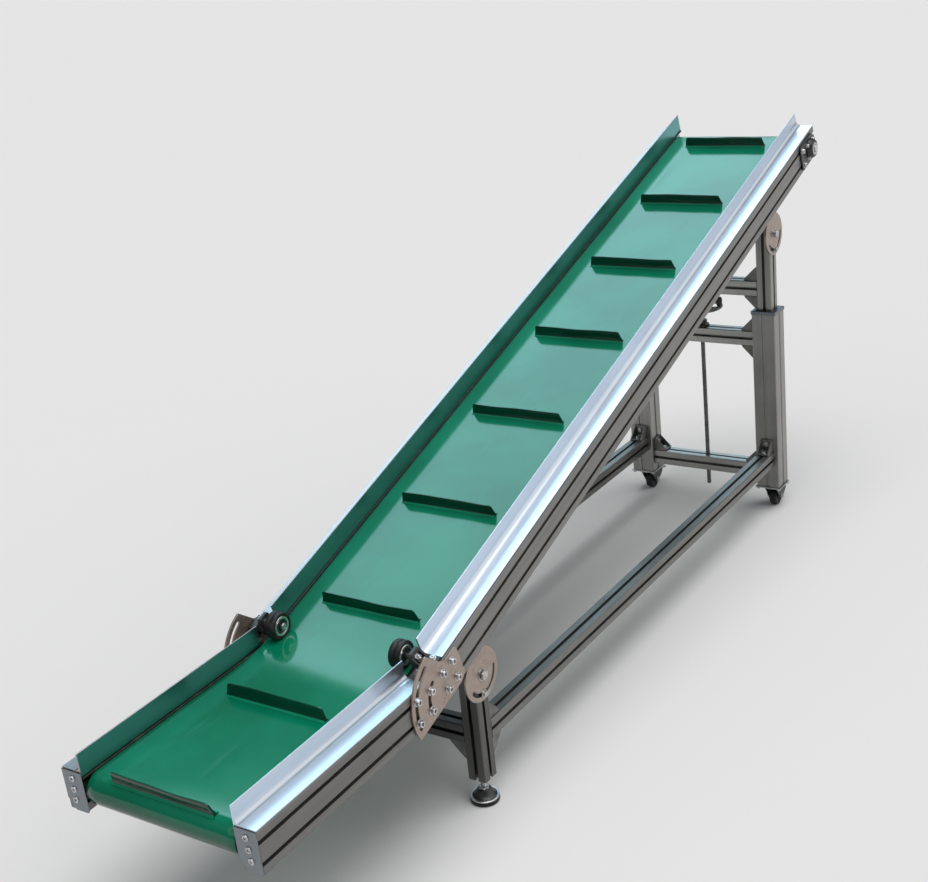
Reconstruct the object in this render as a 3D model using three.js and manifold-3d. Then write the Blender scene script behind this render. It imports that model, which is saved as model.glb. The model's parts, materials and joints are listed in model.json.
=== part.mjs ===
// Knuckled belt conveyor section on a height-adjustable stand. Millimetres, +Z up, feed direction +Y.
import * as THREE from 'three';
import { mergeVertices } from 'three/addons/utils/BufferGeometryUtils.js';
import Module from 'manifold-3d';

const wasm = await Module();
wasm.setup();

// ---------- driving sizes ----------
const overRails = 431;
const railWidth = 40;
const railHeight = 80;
const inclineLength = 2058;
const inclineAngle = 17.75;
const infeedLength = 466;
const infeedAngle = 1.1;
const kneeHeight = 362;
const guardHeight = 37.5;
const guardInset = 6.6;
const beltEdgeGap = 12.5;
const beltThickness = 3;
const beltDrop = 9.5;
const drumRadius = 28;
const headOverrun = 46;
const tailOverrun = 34;
const cleatHalfLength = 113;
const cleatHeight = 26;
const cleatPitch = 304.7;
const firstCleatFromHead = 91.8;
const infeedCleatFromKnee = 150;
const tailCleatTurn = 20;
const cleatClearOfKnee = 100;
const kneeToFrontLeg = 175.6;
const headToRearLeg = 281.4306;
const frontLegSize = 40;
const outerLegSize = 64;
const outerLegWall = 5;
const legInset = 27.5;
const outerLegBottom = 70;
const outerLegTop = 555;
const frontLegBottom = 54;
const bottomRailCentre = 153;
const lowerBarCentre = 111;
const upperBarCentre = 485;
const innerBarCentre = 622;
const hingeDrop = 47.6;
const hingeRadius = 55;
const fanRadius = 101;
const fanCentreAlong = 31.9;
const fanCentreDown = 51.1;
const pressWheelRadius = 27;
const pressWheelWidth = 24;
const pressWheelAlong = 36;
const casterWheelRadius = 25;
const footRadius = 29;

// ---------- clearances ----------
const gap = 0.3;
const runningGap = 0.5;
const slideGap = 0.5;
const openPivotGap = 0.9;

// ---------- sizes worked out from the above ----------
const halfOver = overRails / 2;
const railInner = halfOver - railWidth;
const railCentreX = halfOver - railWidth / 2;
const beltWidth = 2 * (railInner - beltEdgeGap);
const legCentreX = halfOver - legInset;
const slope = THREE.MathUtils.degToRad(inclineAngle);
const infeedSlope = THREE.MathUtils.degToRad(infeedAngle);
const drumCentre = -(beltDrop + beltThickness + runningGap + drumRadius);
const headAxis = inclineLength - headOverrun;
const tailAxis = -(infeedLength - tailOverrun);
const returnInner = drumCentre - drumRadius - runningGap;
const headReach = inclineLength * Math.cos(slope);
const wheelbase = headReach - kneeToFrontLeg - headToRearLeg;
const tailReach = infeedLength * Math.cos(infeedSlope);
const kneeY = (tailReach - headReach) / 2;
const frontLegY = kneeY + kneeToFrontLeg;
const rearLegY = frontLegY + wheelbase;
const hingeLevel = -(railHeight + hingeDrop);

const toIncline = new THREE.Matrix4().makeRotationX(slope).setPosition(0, kneeY, kneeHeight);
const toInfeed = new THREE.Matrix4().makeRotationX(infeedSlope).setPosition(0, kneeY, kneeHeight);
const frontPivotZ = pivotHeight(frontLegY);
const rearPivotZ = pivotHeight(rearLegY);

// Height of the hinge line, parallel to the incline, at a given place along the stand.
function pivotHeight(y) {
  const along = (y - kneeY + hingeLevel * Math.sin(slope)) / Math.cos(slope);
  return kneeHeight + along * Math.sin(slope) + hingeLevel * Math.cos(slope);
}

// ---------- shape helpers ----------
function outlineShape(points) {
  return new THREE.Shape(points.map(([u, v]) => new THREE.Vector2(u, v)));
}

function prism(shape, depth, curveSegments = 10) {
  return new THREE.ExtrudeGeometry(shape, { depth, bevelEnabled: false, curveSegments });
}

// Outline in (x, z), pulled along Y from y0 to y1.
function prismY(shape, y0, y1) {
  return prism(shape, y1 - y0).rotateX(Math.PI / 2).translate(0, y1, 0);
}

// Outline in (y, z), pulled along X from x0 to x1.
function prismX(shape, x0, x1) {
  const turn = new THREE.Matrix4().set(0, 0, 1, x0, 1, 0, 0, 0, 0, 1, 0, 0, 0, 0, 0, 1);
  return prism(shape, x1 - x0).applyMatrix4(turn);
}

// Outline in (x, y), pulled up from z0 to z1.
function prismZ(shape, z0, z1) {
  return prism(shape, z1 - z0).translate(0, 0, z0);
}

function box(x0, x1, y0, y1, z0, z1) {
  const made = new THREE.BoxGeometry(x1 - x0, y1 - y0, z1 - z0);
  return made.translate((x0 + x1) / 2, (y0 + y1) / 2, (z0 + z1) / 2);
}

// Turned part: [radius, distance] pairs along the X axis through (y, z).
function turnedX(profile, y, z, segments = 20) {
  const made = new THREE.LatheGeometry(profile.map(([r, d]) => new THREE.Vector2(r, d)), segments);
  return made.rotateZ(-Math.PI / 2).translate(0, y, z);
}

// Turned part: [radius, height] pairs along the Z axis through (x, y).
function turnedZ(profile, x, y, segments = 20) {
  const made = new THREE.LatheGeometry(profile.map(([r, d]) => new THREE.Vector2(r, d)), segments);
  return made.rotateX(Math.PI / 2).translate(x, y, 0);
}

function barX(radius, x0, x1, y, z, segments = 16) {
  return turnedX([[0, x0], [radius, x0], [radius, x1], [0, x1]], y, z, segments);
}

function barZ(radius, z0, z1, x, y, segments = 16) {
  return turnedZ([[0, z0], [radius, z0], [radius, z1], [0, z1]], x, y, segments);
}

function arcPoints(cu, cv, radius, from, to, steps) {
  return Array.from({ length: steps + 1 }, (_, i) => {
    const angle = THREE.MathUtils.degToRad(from + (to - from) * i / steps);
    return [cu + radius * Math.cos(angle), cv + radius * Math.sin(angle)];
  });
}

// Curved slot of constant width about a centre, with round ends.
function arcSlot(cu, cv, radius, width, from, to) {
  const half = width / 2;
  const [fu, fv] = arcPoints(cu, cv, radius, from, from, 1)[0];
  const [tu, tv] = arcPoints(cu, cv, radius, to, to, 1)[0];
  return outlineShape([
    ...arcPoints(cu, cv, radius + half, from, to, 10),
    ...arcPoints(tu, tv, half, to, to + 180, 4).slice(1, -1),
    ...arcPoints(cu, cv, radius - half, to, from, 10),
    ...arcPoints(fu, fv, half, from + 180, from + 360, 4).slice(1, -1),
  ]);
}

function solid(geometry) {
  const clean = geometry.clone();
  clean.deleteAttribute('normal');
  clean.deleteAttribute('uv');
  const merged = mergeVertices(clean, 1e-4);
  const vertProperties = new Float32Array(merged.attributes.position.array);
  const triVerts = new Uint32Array(merged.index.array);
  return new wasm.Manifold(new wasm.Mesh({ numProp: 3, vertProperties, triVerts }));
}

function surface(made) {
  const mesh = made.getMesh();
  const geometry = new THREE.BufferGeometry();
  geometry.setAttribute('position', new THREE.BufferAttribute(new Float32Array(mesh.vertProperties), 3));
  geometry.setIndex(new THREE.BufferAttribute(new Uint32Array(mesh.triVerts), 1));
  geometry.computeVertexNormals();
  return geometry;
}

function joined(...pieces) {
  return surface(pieces.map(solid).reduce((all, next) => all.add(next)));
}

function cut(base, ...tools) {
  return surface(tools.map(solid).reduce((left, tool) => left.subtract(tool), solid(base)));
}

// ---------- slotted aluminium profiles ----------
const slot = { opening: 8.2, lip: 4, inner: 15, floor: 8, depth: 11 };
const cornerCut = 1.5;

// One T-shaped slot met while walking along a face; `inward` points into the profile.
function slotPoints(at, along, inward) {
  const place = (t, d) => [at[0] + along[0] * t + inward[0] * d, at[1] + along[1] * t + inward[1] * d];
  const steps = [[slot.opening, 0], [slot.opening, slot.lip], [slot.inner, slot.lip], [slot.floor, slot.depth]];
  const entering = steps.map(([w, d]) => place(-w / 2, d));
  const leaving = steps.map(([w, d]) => place(w / 2, d)).reverse();
  return [...entering, ...leaving];
}

// Outline of a profile centred on its axis, slots at `acrossAt` on the flat faces and `upAt` on the sides.
function profileShape(width, height, acrossAt, upAt) {
  const w = width / 2;
  const h = height / 2;
  const c = cornerCut;
  const rising = [...upAt].sort((a, b) => a - b);
  const points = [
    [-w + c, -h],
    ...acrossAt.flatMap((t) => slotPoints([t, -h], [1, 0], [0, 1])),
    [w - c, -h],
    [w, -h + c],
    ...rising.flatMap((t) => slotPoints([w, t], [0, 1], [-1, 0])),
    [w, h - c],
    [w - c, h],
    ...acrossAt.flatMap((t) => slotPoints([t, h], [-1, 0], [0, -1])),
    [-w + c, h],
    [-w, h - c],
    ...rising.reverse().flatMap((t) => slotPoints([-w, t], [0, -1], [1, 0])),
    [-w, -h + c],
  ];
  return outlineShape(points);
}

function roundHole(shape, u, v, radius) {
  shape.holes.push(new THREE.Path(arcPoints(u, v, radius, 360, 45, 7).map((p) => new THREE.Vector2(...p))));
  return shape;
}

function squareProfile(boreRadius = 4.2) {
  return roundHole(profileShape(frontLegSize, frontLegSize, [0], [0]), 0, 0, boreRadius);
}

function railProfile() {
  const quarter = railHeight / 4;
  const shape = profileShape(railWidth, railHeight, [0], [-quarter, quarter]);
  roundHole(shape, 0, -quarter, 3.4);
  roundHole(shape, 0, quarter, 3.4);
  return shape;
}

// ---------- rails, guards and beds of the two sections ----------
const inclineRailStart = 38;
const infeedRailEnd = 15;
const endPlateThickness = 4;
const infeedRailStart = -(infeedLength - endPlateThickness - gap);
const inclineGuardStart = 60;
const infeedGuardEnd = -3;
const headShaftRadius = 10;
const idlerShaftRadius = 8;
const bendRadius = 15;
const bendAlong = 52;
const bendCentre = returnInner + runningGap + bendRadius;
const shaftReach = railInner + 11;

function sectionRail(side, from, to) {
  return prismY(railProfile(), from, to).translate(side * railCentreX, 0, -railHeight / 2);
}

function inclineRail(side) {
  const shaftHole = barX(headShaftRadius + 1, railInner - 5, halfOver + 5, headAxis, drumCentre);
  const rollerHole = barX(idlerShaftRadius + runningGap, railInner - 5, shaftReach + 1, bendAlong, bendCentre);
  const tools = [shaftHole, rollerHole].map((hole) => mirrored(hole, side));
  return cut(sectionRail(side, inclineRailStart, inclineLength), ...tools);
}

function infeedRail(side) {
  const hole = barX(idlerShaftRadius + runningGap, railInner - 5, shaftReach + 1, tailAxis, drumCentre);
  return cut(sectionRail(side, infeedRailStart, infeedRailEnd), mirrored(hole, side));
}

// Reflects a shape made for the +X side onto the asked side.
function mirrored(geometry, side) {
  if (side > 0) return geometry;
  const flipped = geometry.clone().scale(-1, 1, 1);
  if (flipped.index) {
    const order = flipped.index.array;
    for (let i = 0; i < order.length; i += 3) [order[i], order[i + 1]] = [order[i + 1], order[i]];
    return flipped;
  }
  const spots = flipped.attributes.position;
  for (let i = 0; i < spots.count; i += 3) {
    const first = new THREE.Vector3().fromBufferAttribute(spots, i);
    const second = new THREE.Vector3().fromBufferAttribute(spots, i + 1);
    spots.setXYZ(i, second.x, second.y, second.z);
    spots.setXYZ(i + 1, first.x, first.y, first.z);
  }
  return flipped;
}

// Angle-shaped skirt: foot over the rail, wall at its inner edge, hollow fillet between them.
function guard(side, from, to) {
  const wallIn = railInner - guardInset;
  const wallOut = wallIn + 2.6;
  const footTop = gap + 2.2;
  const fillet = 13;
  const points = [
    [wallIn, -beltDrop + 2.5],
    [railInner - gap, -beltDrop + 2.5],
    [railInner - gap, gap],
    [halfOver - 1, gap],
    [halfOver - 1, footTop],
    ...arcPoints(wallOut + fillet, footTop + fillet, fillet, 270, 180, 7),
    [wallOut, guardHeight - 0.6],
    [wallOut - 0.8, guardHeight],
    [wallIn + 0.6, guardHeight],
    [wallIn, guardHeight - 0.6],
  ];
  return mirrored(prismY(outlineShape(points), from, to), side);
}

// Folded tray under the carrying run, its lips against the rails.
function sliderBed(from, to) {
  const top = -(beltDrop + beltThickness + runningGap);
  const wide = railInner - gap;
  const sheet = 2;
  const lip = 20;
  const outline = outlineShape([
    [-wide, top - lip], [-wide + sheet, top - lip], [-wide + sheet, top - sheet],
    [wide - sheet, top - sheet], [wide - sheet, top - lip], [wide, top - lip],
    [wide, top], [-wide, top],
  ]);
  return prismY(outline, from, to);
}

function crossTie(along) {
  const reach = railInner - gap;
  const shape = roundHole(profileShape(30, 30, [], []), 0, 0, 8);
  const tube = prismX(shape, -reach, reach);
  return tube.translate(0, along, -51);
}

// ---------- belts ----------
// Closed strip around one end roller, open at the knee; `turn` is +1 at the head and -1 at the tail.
function beltStrip(axisAlong, turn, topEnd, bottomEnd) {
  const inner = drumRadius + runningGap;
  const outer = inner + beltThickness;
  const to = turn > 0 ? -90 : 270;
  const outside = arcPoints(axisAlong, drumCentre, outer, 90, to, 20);
  const inside = arcPoints(axisAlong, drumCentre, inner, to, 90, 20);
  const outline = outlineShape([
    [topEnd.outer, drumCentre + outer], ...outside, [bottomEnd.outer, drumCentre - outer],
    [bottomEnd.inner, drumCentre - inner], ...inside, [topEnd.inner, drumCentre + inner],
  ]);
  return prismX(outline, -beltWidth / 2, beltWidth / 2);
}

// Upright bar with a wider root and angled ends, standing on the belt surface at z = 0.
function cleat() {
  const root = 5;
  const wall = 2.2;
  const length = cleatHalfLength;
  const foot = outlineShape([
    [-root, -1], [root, -1], [root, 0.8], [wall, 4], [wall, cleatHeight], [-wall, cleatHeight],
    [-wall, 4], [-root, 0.8],
  ]);
  const bar = prismX(foot, -length, length);
  const corner = outlineShape([[length - 9, cleatHeight + 1], [length + 1, cleatHeight + 1], [length + 1, 3]]);
  const trim = prism(corner, 20).rotateX(Math.PI / 2).translate(0, 10, 0);
  return cut(bar, trim, mirrored(trim, -1));
}

const surfaceLevel = -beltDrop;
const returnLevel = returnInner - beltThickness;

function cleatAt(along, level, turnDegrees) {
  return cleat().rotateX(THREE.MathUtils.degToRad(turnDegrees)).translate(0, along, level);
}

function inclineBelt() {
  const strip = beltStrip(headAxis, 1, { outer: 4, inner: 4 }, { outer: 18, inner: 18 });
  const highest = inclineLength - firstCleatFromHead;
  const room = Math.floor((highest - cleatClearOfKnee) / cleatPitch) + 1;
  const carried = Array.from({ length: room }, (_, i) => highest - i * cleatPitch);
  const returning = carried.map((along) => along - cleatPitch / 2).filter((along) => along > cleatClearOfKnee);
  const top = carried.map((s) => cleatAt(s, surfaceLevel, 0));
  const under = returning.map((s) => cleatAt(s, returnLevel, 180));
  return joined(strip, ...top, ...under);
}

function infeedBelt() {
  const strip = beltStrip(tailAxis, -1, { outer: -3, inner: -3 }, { outer: 4, inner: 4 });
  const outer = drumRadius + runningGap + beltThickness;
  const lean = THREE.MathUtils.degToRad(tailCleatTurn);
  const along = tailAxis - outer * Math.sin(lean);
  const level = drumCentre + outer * Math.cos(lean);
  const onWrap = cleatAt(along, level, tailCleatTurn);
  const returning = cleatAt(-infeedLength / 2, returnLevel, 180);
  return joined(strip, cleatAt(-infeedCleatFromKnee, surfaceLevel, 0), onWrap, returning);
}

// ---------- rollers ----------
function headDrum() {
  const half = beltWidth / 2 - 1;
  const reach = halfOver + 21;
  return turnedX([
    [0, -reach], [headShaftRadius, -reach], [headShaftRadius, -half], [drumRadius - 1, -half],
    [drumRadius, -half + 8], [drumRadius, half - 8], [drumRadius - 1, half], [headShaftRadius, half],
    [headShaftRadius, reach], [0, reach],
  ], headAxis, drumCentre, 28);
}

function idler(radius, along, level) {
  const half = beltWidth / 2 - 1;
  return turnedX([
    [0, -shaftReach], [idlerShaftRadius, -shaftReach], [idlerShaftRadius, -half], [radius - 1, -half],
    [radius, -half + 3], [radius, half - 3], [radius - 1, half], [idlerShaftRadius, half],
    [idlerShaftRadius, shaftReach], [0, shaftReach],
  ], along, level, 24);
}

// ---------- head bearings ----------
const bearingFace = halfOver + gap;

function headBearing(side) {
  const plate = outlineShape([
    [headAxis - 66, -12], [headAxis - 60, -6], [headAxis + 20, -6], [headAxis + 34, -20],
    [headAxis + 34, -62], [headAxis + 22, -74], [headAxis - 60, -74], [headAxis - 66, -68],
  ]);
  const base = prismX(plate, bearingFace, bearingFace + 4);
  const housing = turnedX([
    [0, bearingFace + 2], [27, bearingFace + 2], [27, bearingFace + 9], [22, bearingFace + 14],
    [22, bearingFace + 18], [0, bearingFace + 18],
  ], headAxis, drumCentre, 24);
  const bore = barX(headShaftRadius + runningGap, bearingFace - 5, bearingFace + 30, headAxis, drumCentre);
  return mirrored(cut(joined(base, housing), bore), side);
}

// ---------- knee ----------
const plateThickness = 4;

// Fan plate fixed to the incline; its two arc slots let the infeed section swing about the knee axis.
function kneePlate(side) {
  const u = fanCentreAlong;
  const v = -fanCentreDown;
  const shape = outlineShape([
    ...arcPoints(u, v, fanRadius, 98, 195, 20),
    [82, -79], [98, -70], [98, -6], [93, -1], [60, -1], [46, 8],
  ]);
  const plate = prismX(shape, bearingFace, bearingFace + plateThickness);
  const outerSlot = prismX(arcSlot(u, v, 87, 9, 107, 185), bearingFace - 2, bearingFace + 8);
  const innerSlot = prismX(arcSlot(u, v, 47, 9, 118, 195), bearingFace - 2, bearingFace + 8);
  return mirrored(cut(plate, outerSlot, innerSlot), side);
}

const pressLevel = -beltDrop + pressWheelRadius + gap;
const pressInner = beltWidth / 2 - pressWheelWidth - 6;
const pressOuter = pressInner + pressWheelWidth;

function pressBracket(side) {
  const edge = railInner - guardInset + 3.6;
  const [from, to] = [pressWheelAlong - 14, pressWheelAlong + 14];
  const base = box(edge, halfOver - 1, from, inclineGuardStart - 0.6, gap, 7);
  const block = box(edge, edge + 22, from, to, 5, 35);
  const pin = barX(5, pressInner - 4, edge + 4, pressWheelAlong, pressLevel, 12);
  const head = barX(8, pressInner - 5, pressInner - 1, pressWheelAlong, pressLevel, 12);
  return mirrored(joined(base, block, pin, head), side);
}

function pressWheel(side) {
  const r = pressWheelRadius;
  const bore = 5 + runningGap;
  const made = turnedX([
    [bore, pressInner], [13, pressInner], [r - 9, pressInner + 2], [r - 7, pressInner], [r - 3, pressInner],
    [r, pressInner + 4], [r, pressOuter - 4], [r - 3, pressOuter], [bore, pressOuter], [bore, pressInner],
  ], pressWheelAlong, pressLevel, 28);
  return mirrored(made, side);
}

// ---------- hinge plates under the rails ----------
const hingeOuterX = legCentreX + frontLegSize / 2 + gap;

// Round lug with an arc slot below the pivot and a foot under the rail, `clearance` below it.
function hingePlate(side, along, clearance) {
  const under = -(railHeight + clearance);
  const reach = Math.asin((hingeDrop - clearance) / hingeRadius) * 180 / Math.PI;
  const lug = outlineShape(arcPoints(along, hingeLevel, hingeRadius, 180 - reach, 360 + reach, 26));
  const plate = prismX(lug, hingeOuterX, hingeOuterX + plateThickness);
  const foot = box(railInner + 2, hingeOuterX + 2, along - 26, along + 26, under - 4, under);
  const pivotHole = barX(6.4, hingeOuterX - 2, hingeOuterX + 8, along, hingeLevel);
  const curve = arcSlot(along, hingeLevel, 41, 8, 200, 340);
  const slotTool = prismX(curve, hingeOuterX - 2, hingeOuterX + 8);
  return mirrored(cut(joined(plate, foot), pivotHole, slotTool), side);
}

// Where along the incline the hinge line meets a leg.
function hingeAlong(y) {
  return (y - kneeY + hingeLevel * Math.sin(slope)) / Math.cos(slope);
}

// ---------- tail end plates ----------
function endPlate(side) {
  const inner = railInner - guardInset;
  const [low, high] = side > 0 ? [inner, halfOver] : [-halfOver, -inner];
  const shape = outlineShape([
    [low, -58], [low + 14, -80], [high - 4, -80], [high, -76], [high, 0], [low, 0],
  ]);
  const end = infeedRailStart - gap;
  return prismY(shape, end - endPlateThickness, end);
}

// ---------- stand ----------
const frontFaceY = frontLegY - frontLegSize / 2;
const rearFaceY = rearLegY - outerLegSize / 2;
const halfBar = frontLegSize / 2;
const stemRadius = 6;

// Front leg with the pivot bolt that carries the lower hinge plate.
function frontLeg(side) {
  const top = frontPivotZ + 30;
  const post = prismZ(squareProfile(stemRadius + 1.1), frontLegBottom, top);
  const leg = post.translate(legCentreX, frontLegY, 0);
  return mirrored(joined(leg, pivotBolt(frontLegY, frontPivotZ)), side);
}

function pivotBolt(y, z) {
  const face = hingeOuterX + plateThickness + gap;
  const start = legCentreX + 5;
  return turnedX([
    [0, start], [6, start], [6, face], [10, face], [10, face + 4], [8, face + 6], [0, face + 6],
  ], y, z, 12);
}

function barAcross(y, z, reach) {
  return prismX(squareProfile(), -reach, reach).translate(0, y, z);
}

function frontCrossbar() {
  return barAcross(frontLegY, bottomRailCentre, legCentreX - halfBar - gap);
}

function bottomRail(side) {
  const from = frontLegY + halfBar + gap;
  const to = rearFaceY - gap;
  return prismY(squareProfile(), from, to).translate(side * legCentreX, 0, bottomRailCentre);
}

// Hollow square post with a shallow groove down each face.
function hollowShape() {
  const h = outerLegSize / 2;
  const face = [[-h + 2, 0], [-5, 0], [-4, 2.4], [4, 2.4], [5, 0], [h - 2, 0]];
  const turned = (k, [t, d]) => {
    const angle = k * Math.PI / 2;
    const u = t;
    const v = -h + d;
    return [u * Math.cos(angle) - v * Math.sin(angle), u * Math.sin(angle) + v * Math.cos(angle)];
  };
  const shape = outlineShape([0, 1, 2, 3].flatMap((k) => face.map((p) => turned(k, p))));
  const c = h - outerLegWall;
  const hole = [[-c, -c], [-c, c], [c, c], [c, -c]];
  shape.holes.push(new THREE.Path(hole.map((p) => new THREE.Vector2(...p))));
  return shape;
}

function rearOuterLeg(side) {
  return prismZ(hollowShape(), outerLegBottom, outerLegTop).translate(side * legCentreX, rearLegY, 0);
}

// Collar on the outer leg that guides the inner leg.
function legCap(side) {
  const h = outerLegSize / 2 + 1.5;
  const c = halfBar + slideGap;
  const shape = outlineShape([[-h, -h], [h, -h], [h, h], [-h, h]]);
  const hole = [[-c, -c], [-c, c], [c, c], [c, -c]];
  shape.holes.push(new THREE.Path(hole.map((p) => new THREE.Vector2(...p))));
  const cap = prismZ(shape, outerLegTop + gap, outerLegTop + 10);
  return cap.translate(side * legCentreX, rearLegY, 0);
}

const screwRadius = 6;

function lowerCrossbar() {
  const bar = barAcross(rearLegY, lowerBarCentre, legCentreX - outerLegSize / 2 - gap);
  const hole = barZ(screwRadius + 1, lowerBarCentre - 40, lowerBarCentre + 40, 0, rearLegY);
  return cut(bar, hole);
}

function upperCrossbar() {
  const bar = barAcross(rearLegY, upperBarCentre, legCentreX - outerLegSize / 2 - gap);
  const hole = barZ(screwRadius + 1, upperBarCentre - 40, upperBarCentre + 40, 0, rearLegY);
  return cut(bar, hole);
}

// Nut of the lead screw, standing on the upper crossbar.
function screwNut() {
  const low = upperBarCentre + halfBar + gap;
  const r = screwRadius + runningGap;
  return turnedZ([
    [r, low], [20, low], [20, low + 5], [14, low + 7], [14, low + 18], [r, low + 18], [r, low],
  ], 0, rearLegY);
}

// ---------- lift frame ----------
const innerLegBottom = 330;
const innerLegTop = rearPivotZ + 30;

function innerLeg(side) {
  const post = prismZ(squareProfile(), innerLegBottom, innerLegTop);
  const shoe = outerLegSize / 2 - outerLegWall - slideGap;
  const block = box(-shoe, shoe, -shoe, shoe, innerLegBottom - 30, innerLegBottom + 4);
  const leg = joined(post, block).translate(legCentreX, rearLegY, 0);
  return mirrored(joined(leg, pivotBolt(rearLegY, rearPivotZ)), side);
}

function innerCrossbar() {
  const bar = barAcross(rearLegY, innerBarCentre, legCentreX - halfBar - gap);
  const hole = barZ(screwRadius + runningGap, innerBarCentre - 40, innerBarCentre + 40, 0, rearLegY);
  return cut(bar, hole);
}

// Lead screw: collars above and below the inner crossbar carry the lift frame.
function leadScrew() {
  const low = lowerBarCentre - halfBar - 46;
  const under = innerBarCentre - halfBar - runningGap;
  const over = innerBarCentre + halfBar + runningGap;
  return turnedZ([
    [0, low], [screwRadius - 1, low], [screwRadius, low + 1.5], [screwRadius, under - 8], [12, under - 8],
    [12, under], [screwRadius, under], [screwRadius, over], [12, over], [12, over + 8],
    [5, over + 10], [0, over + 10],
  ], 0, rearLegY);
}

// Handwheel clamped on the screw between the nut and the inner crossbar.
function handwheel() {
  const z = upperBarCentre + 74;
  const rim = new THREE.TorusGeometry(52, 5, 6, 28).translate(0, rearLegY, z);
  const hub = turnedZ([
    [screwRadius + gap, z - 10], [16, z - 10], [16, z + 8], [screwRadius + gap, z + 8],
    [screwRadius + gap, z - 10],
  ], 0, rearLegY);
  const spoke = (k) => {
    const arm = box(13, 49, -5, 5, -2.5, 2.5);
    return arm.rotateZ(k * 2 * Math.PI / 3).translate(0, rearLegY, z);
  };
  const knob = turnedZ([[0, z], [6, z], [6, z + 6], [8, z + 12], [8, z + 26], [5, z + 30], [0, z + 30]],
    52, rearLegY, 12);
  return joined(rim, hub, spoke(0), spoke(1), spoke(2), knob);
}

// ---------- casters and feet ----------
const casterTrail = 20;
const forkTop = outerLegBottom - 4 - gap;

function casterPlate(side) {
  const h = outerLegSize / 2 + 3;
  const top = outerLegBottom - gap;
  return box(side * legCentreX - h, side * legCentreX + h, rearLegY - h, rearLegY + h, top - 4, top);
}

function casterPlace(side) {
  return [side * legCentreX, rearLegY];
}

// Fork: swivel ring, bridge and two cheeks reaching back to the axle.
function casterFork(side) {
  const [x, y] = casterPlace(side);
  const axleY = y + casterTrail;
  const bottom = outerLegBottom - gap - 4 - gap;
  const ring = barZ(22, bottom - 6, bottom, x, y, 24);
  const bridge = box(x - 17, x + 17, y - 16, y + 26, bottom - 9, bottom - 4);
  const cheekShape = outlineShape([
    [y - 16, bottom - 5], [axleY - 8, casterWheelRadius - 6], [axleY, casterWheelRadius - 9],
    [axleY + 8, casterWheelRadius - 6], [axleY + 34, 38], [axleY + 34, 50], [y + 26, bottom - 5],
  ]);
  const cheek = (at) => prismX(cheekShape, at, at + 2.5);
  const axle = barX(4, x - 19, x + 19, axleY, casterWheelRadius, 12);
  return joined(ring, bridge, cheek(x - 17), cheek(x + 14.5), axle);
}

function casterWheel(side) {
  const [x, y] = casterPlace(side);
  const r = casterWheelRadius;
  const bore = 4 + runningGap;
  return turnedX([
    [bore, x - 12], [r - 7, x - 10], [r - 2, x - 10], [r, x - 6], [r, x + 6], [r - 2, x + 10],
    [r - 7, x + 10], [bore, x + 12], [bore, x - 12],
  ], y + casterTrail, r, 24);
}

// Foot-operated brake lever, hinged between the tails of the fork behind the wheel.
const pedalLevel = 42;
function brakePedal(side) {
  const [x, y] = casterPlace(side);
  const start = y + casterTrail + casterWheelRadius + 1.5;
  const shape = outlineShape([
    [start, pedalLevel], [start, pedalLevel + 7], [start + 12, pedalLevel + 7], [start + 36, pedalLevel],
    [start + 40, pedalLevel - 5], [start + 36, pedalLevel - 6], [start + 12, pedalLevel],
  ]);
  return prismX(shape, x - 14.5 + gap, x + 14.5 - gap);
}

// Levelling foot: rubber-edged disc, hub and threaded stem running up into the leg.
function levellingFoot(side) {
  const r = footRadius;
  return turnedZ([
    [0, 0], [r - 2, 0], [r, 3], [r, 12], [r - 4, 16], [16, 22], [13, 34], [stemRadius, 35],
    [stemRadius, frontLegBottom + 60], [0, frontLegBottom + 60],
  ], side * legCentreX, frontLegY, 24);
}

// ---------- colours ----------
const anodised = { color: 0x8b8c8a, roughness: 0.38, metalness: 0.85 };
const bright = { color: 0xc9d1d8, roughness: 0.28, metalness: 0.9 };
const green = { color: 0x047350, roughness: 0.35, metalness: 0 };
const plateGrey = { color: 0xa09488, roughness: 0.35, metalness: 0.85 };
const steel = { color: 0xb5b7b8, roughness: 0.3, metalness: 0.95 };
const dark = { color: 0x2a2b2c, roughness: 0.55, metalness: 0.2 };
const black = { color: 0x101112, roughness: 0.7, metalness: 0 };

const group = new THREE.Group();

function add(name, geometry, look, place) {
  if (place) geometry.applyMatrix4(place);
  const mesh = new THREE.Mesh(geometry, new THREE.MeshStandardMaterial(look));
  mesh.name = name;
  group.add(mesh);
}

add('bed_incline', sliderBed(10, headAxis - drumRadius - 8), steel, toIncline);
add('tie_lower', crossTie(380), anodised, toIncline);
add('tie_upper', crossTie(1500), anodised, toIncline);
add('belt_incline', inclineBelt(), green, toIncline);
add('head_drum', headDrum(), steel, toIncline);
add('bend_roller', idler(bendRadius, bendAlong, bendCentre), steel, toIncline);
add('bed_infeed', sliderBed(tailAxis + drumRadius + 8, -10), steel, toInfeed);
add('tie_infeed', crossTie(-200), anodised, toInfeed);
add('belt_infeed', infeedBelt(), green, toInfeed);
add('tail_roller', idler(drumRadius, tailAxis, drumCentre), steel, toInfeed);
add('front_crossbar', frontCrossbar(), anodised);
add('lower_crossbar', lowerCrossbar(), anodised);
add('upper_crossbar', upperCrossbar(), anodised);
add('screw_nut', screwNut(), dark);
add('inner_crossbar', innerCrossbar(), anodised);
add('lead_screw', leadScrew(), steel);
add('handwheel', handwheel(), dark);

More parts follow.
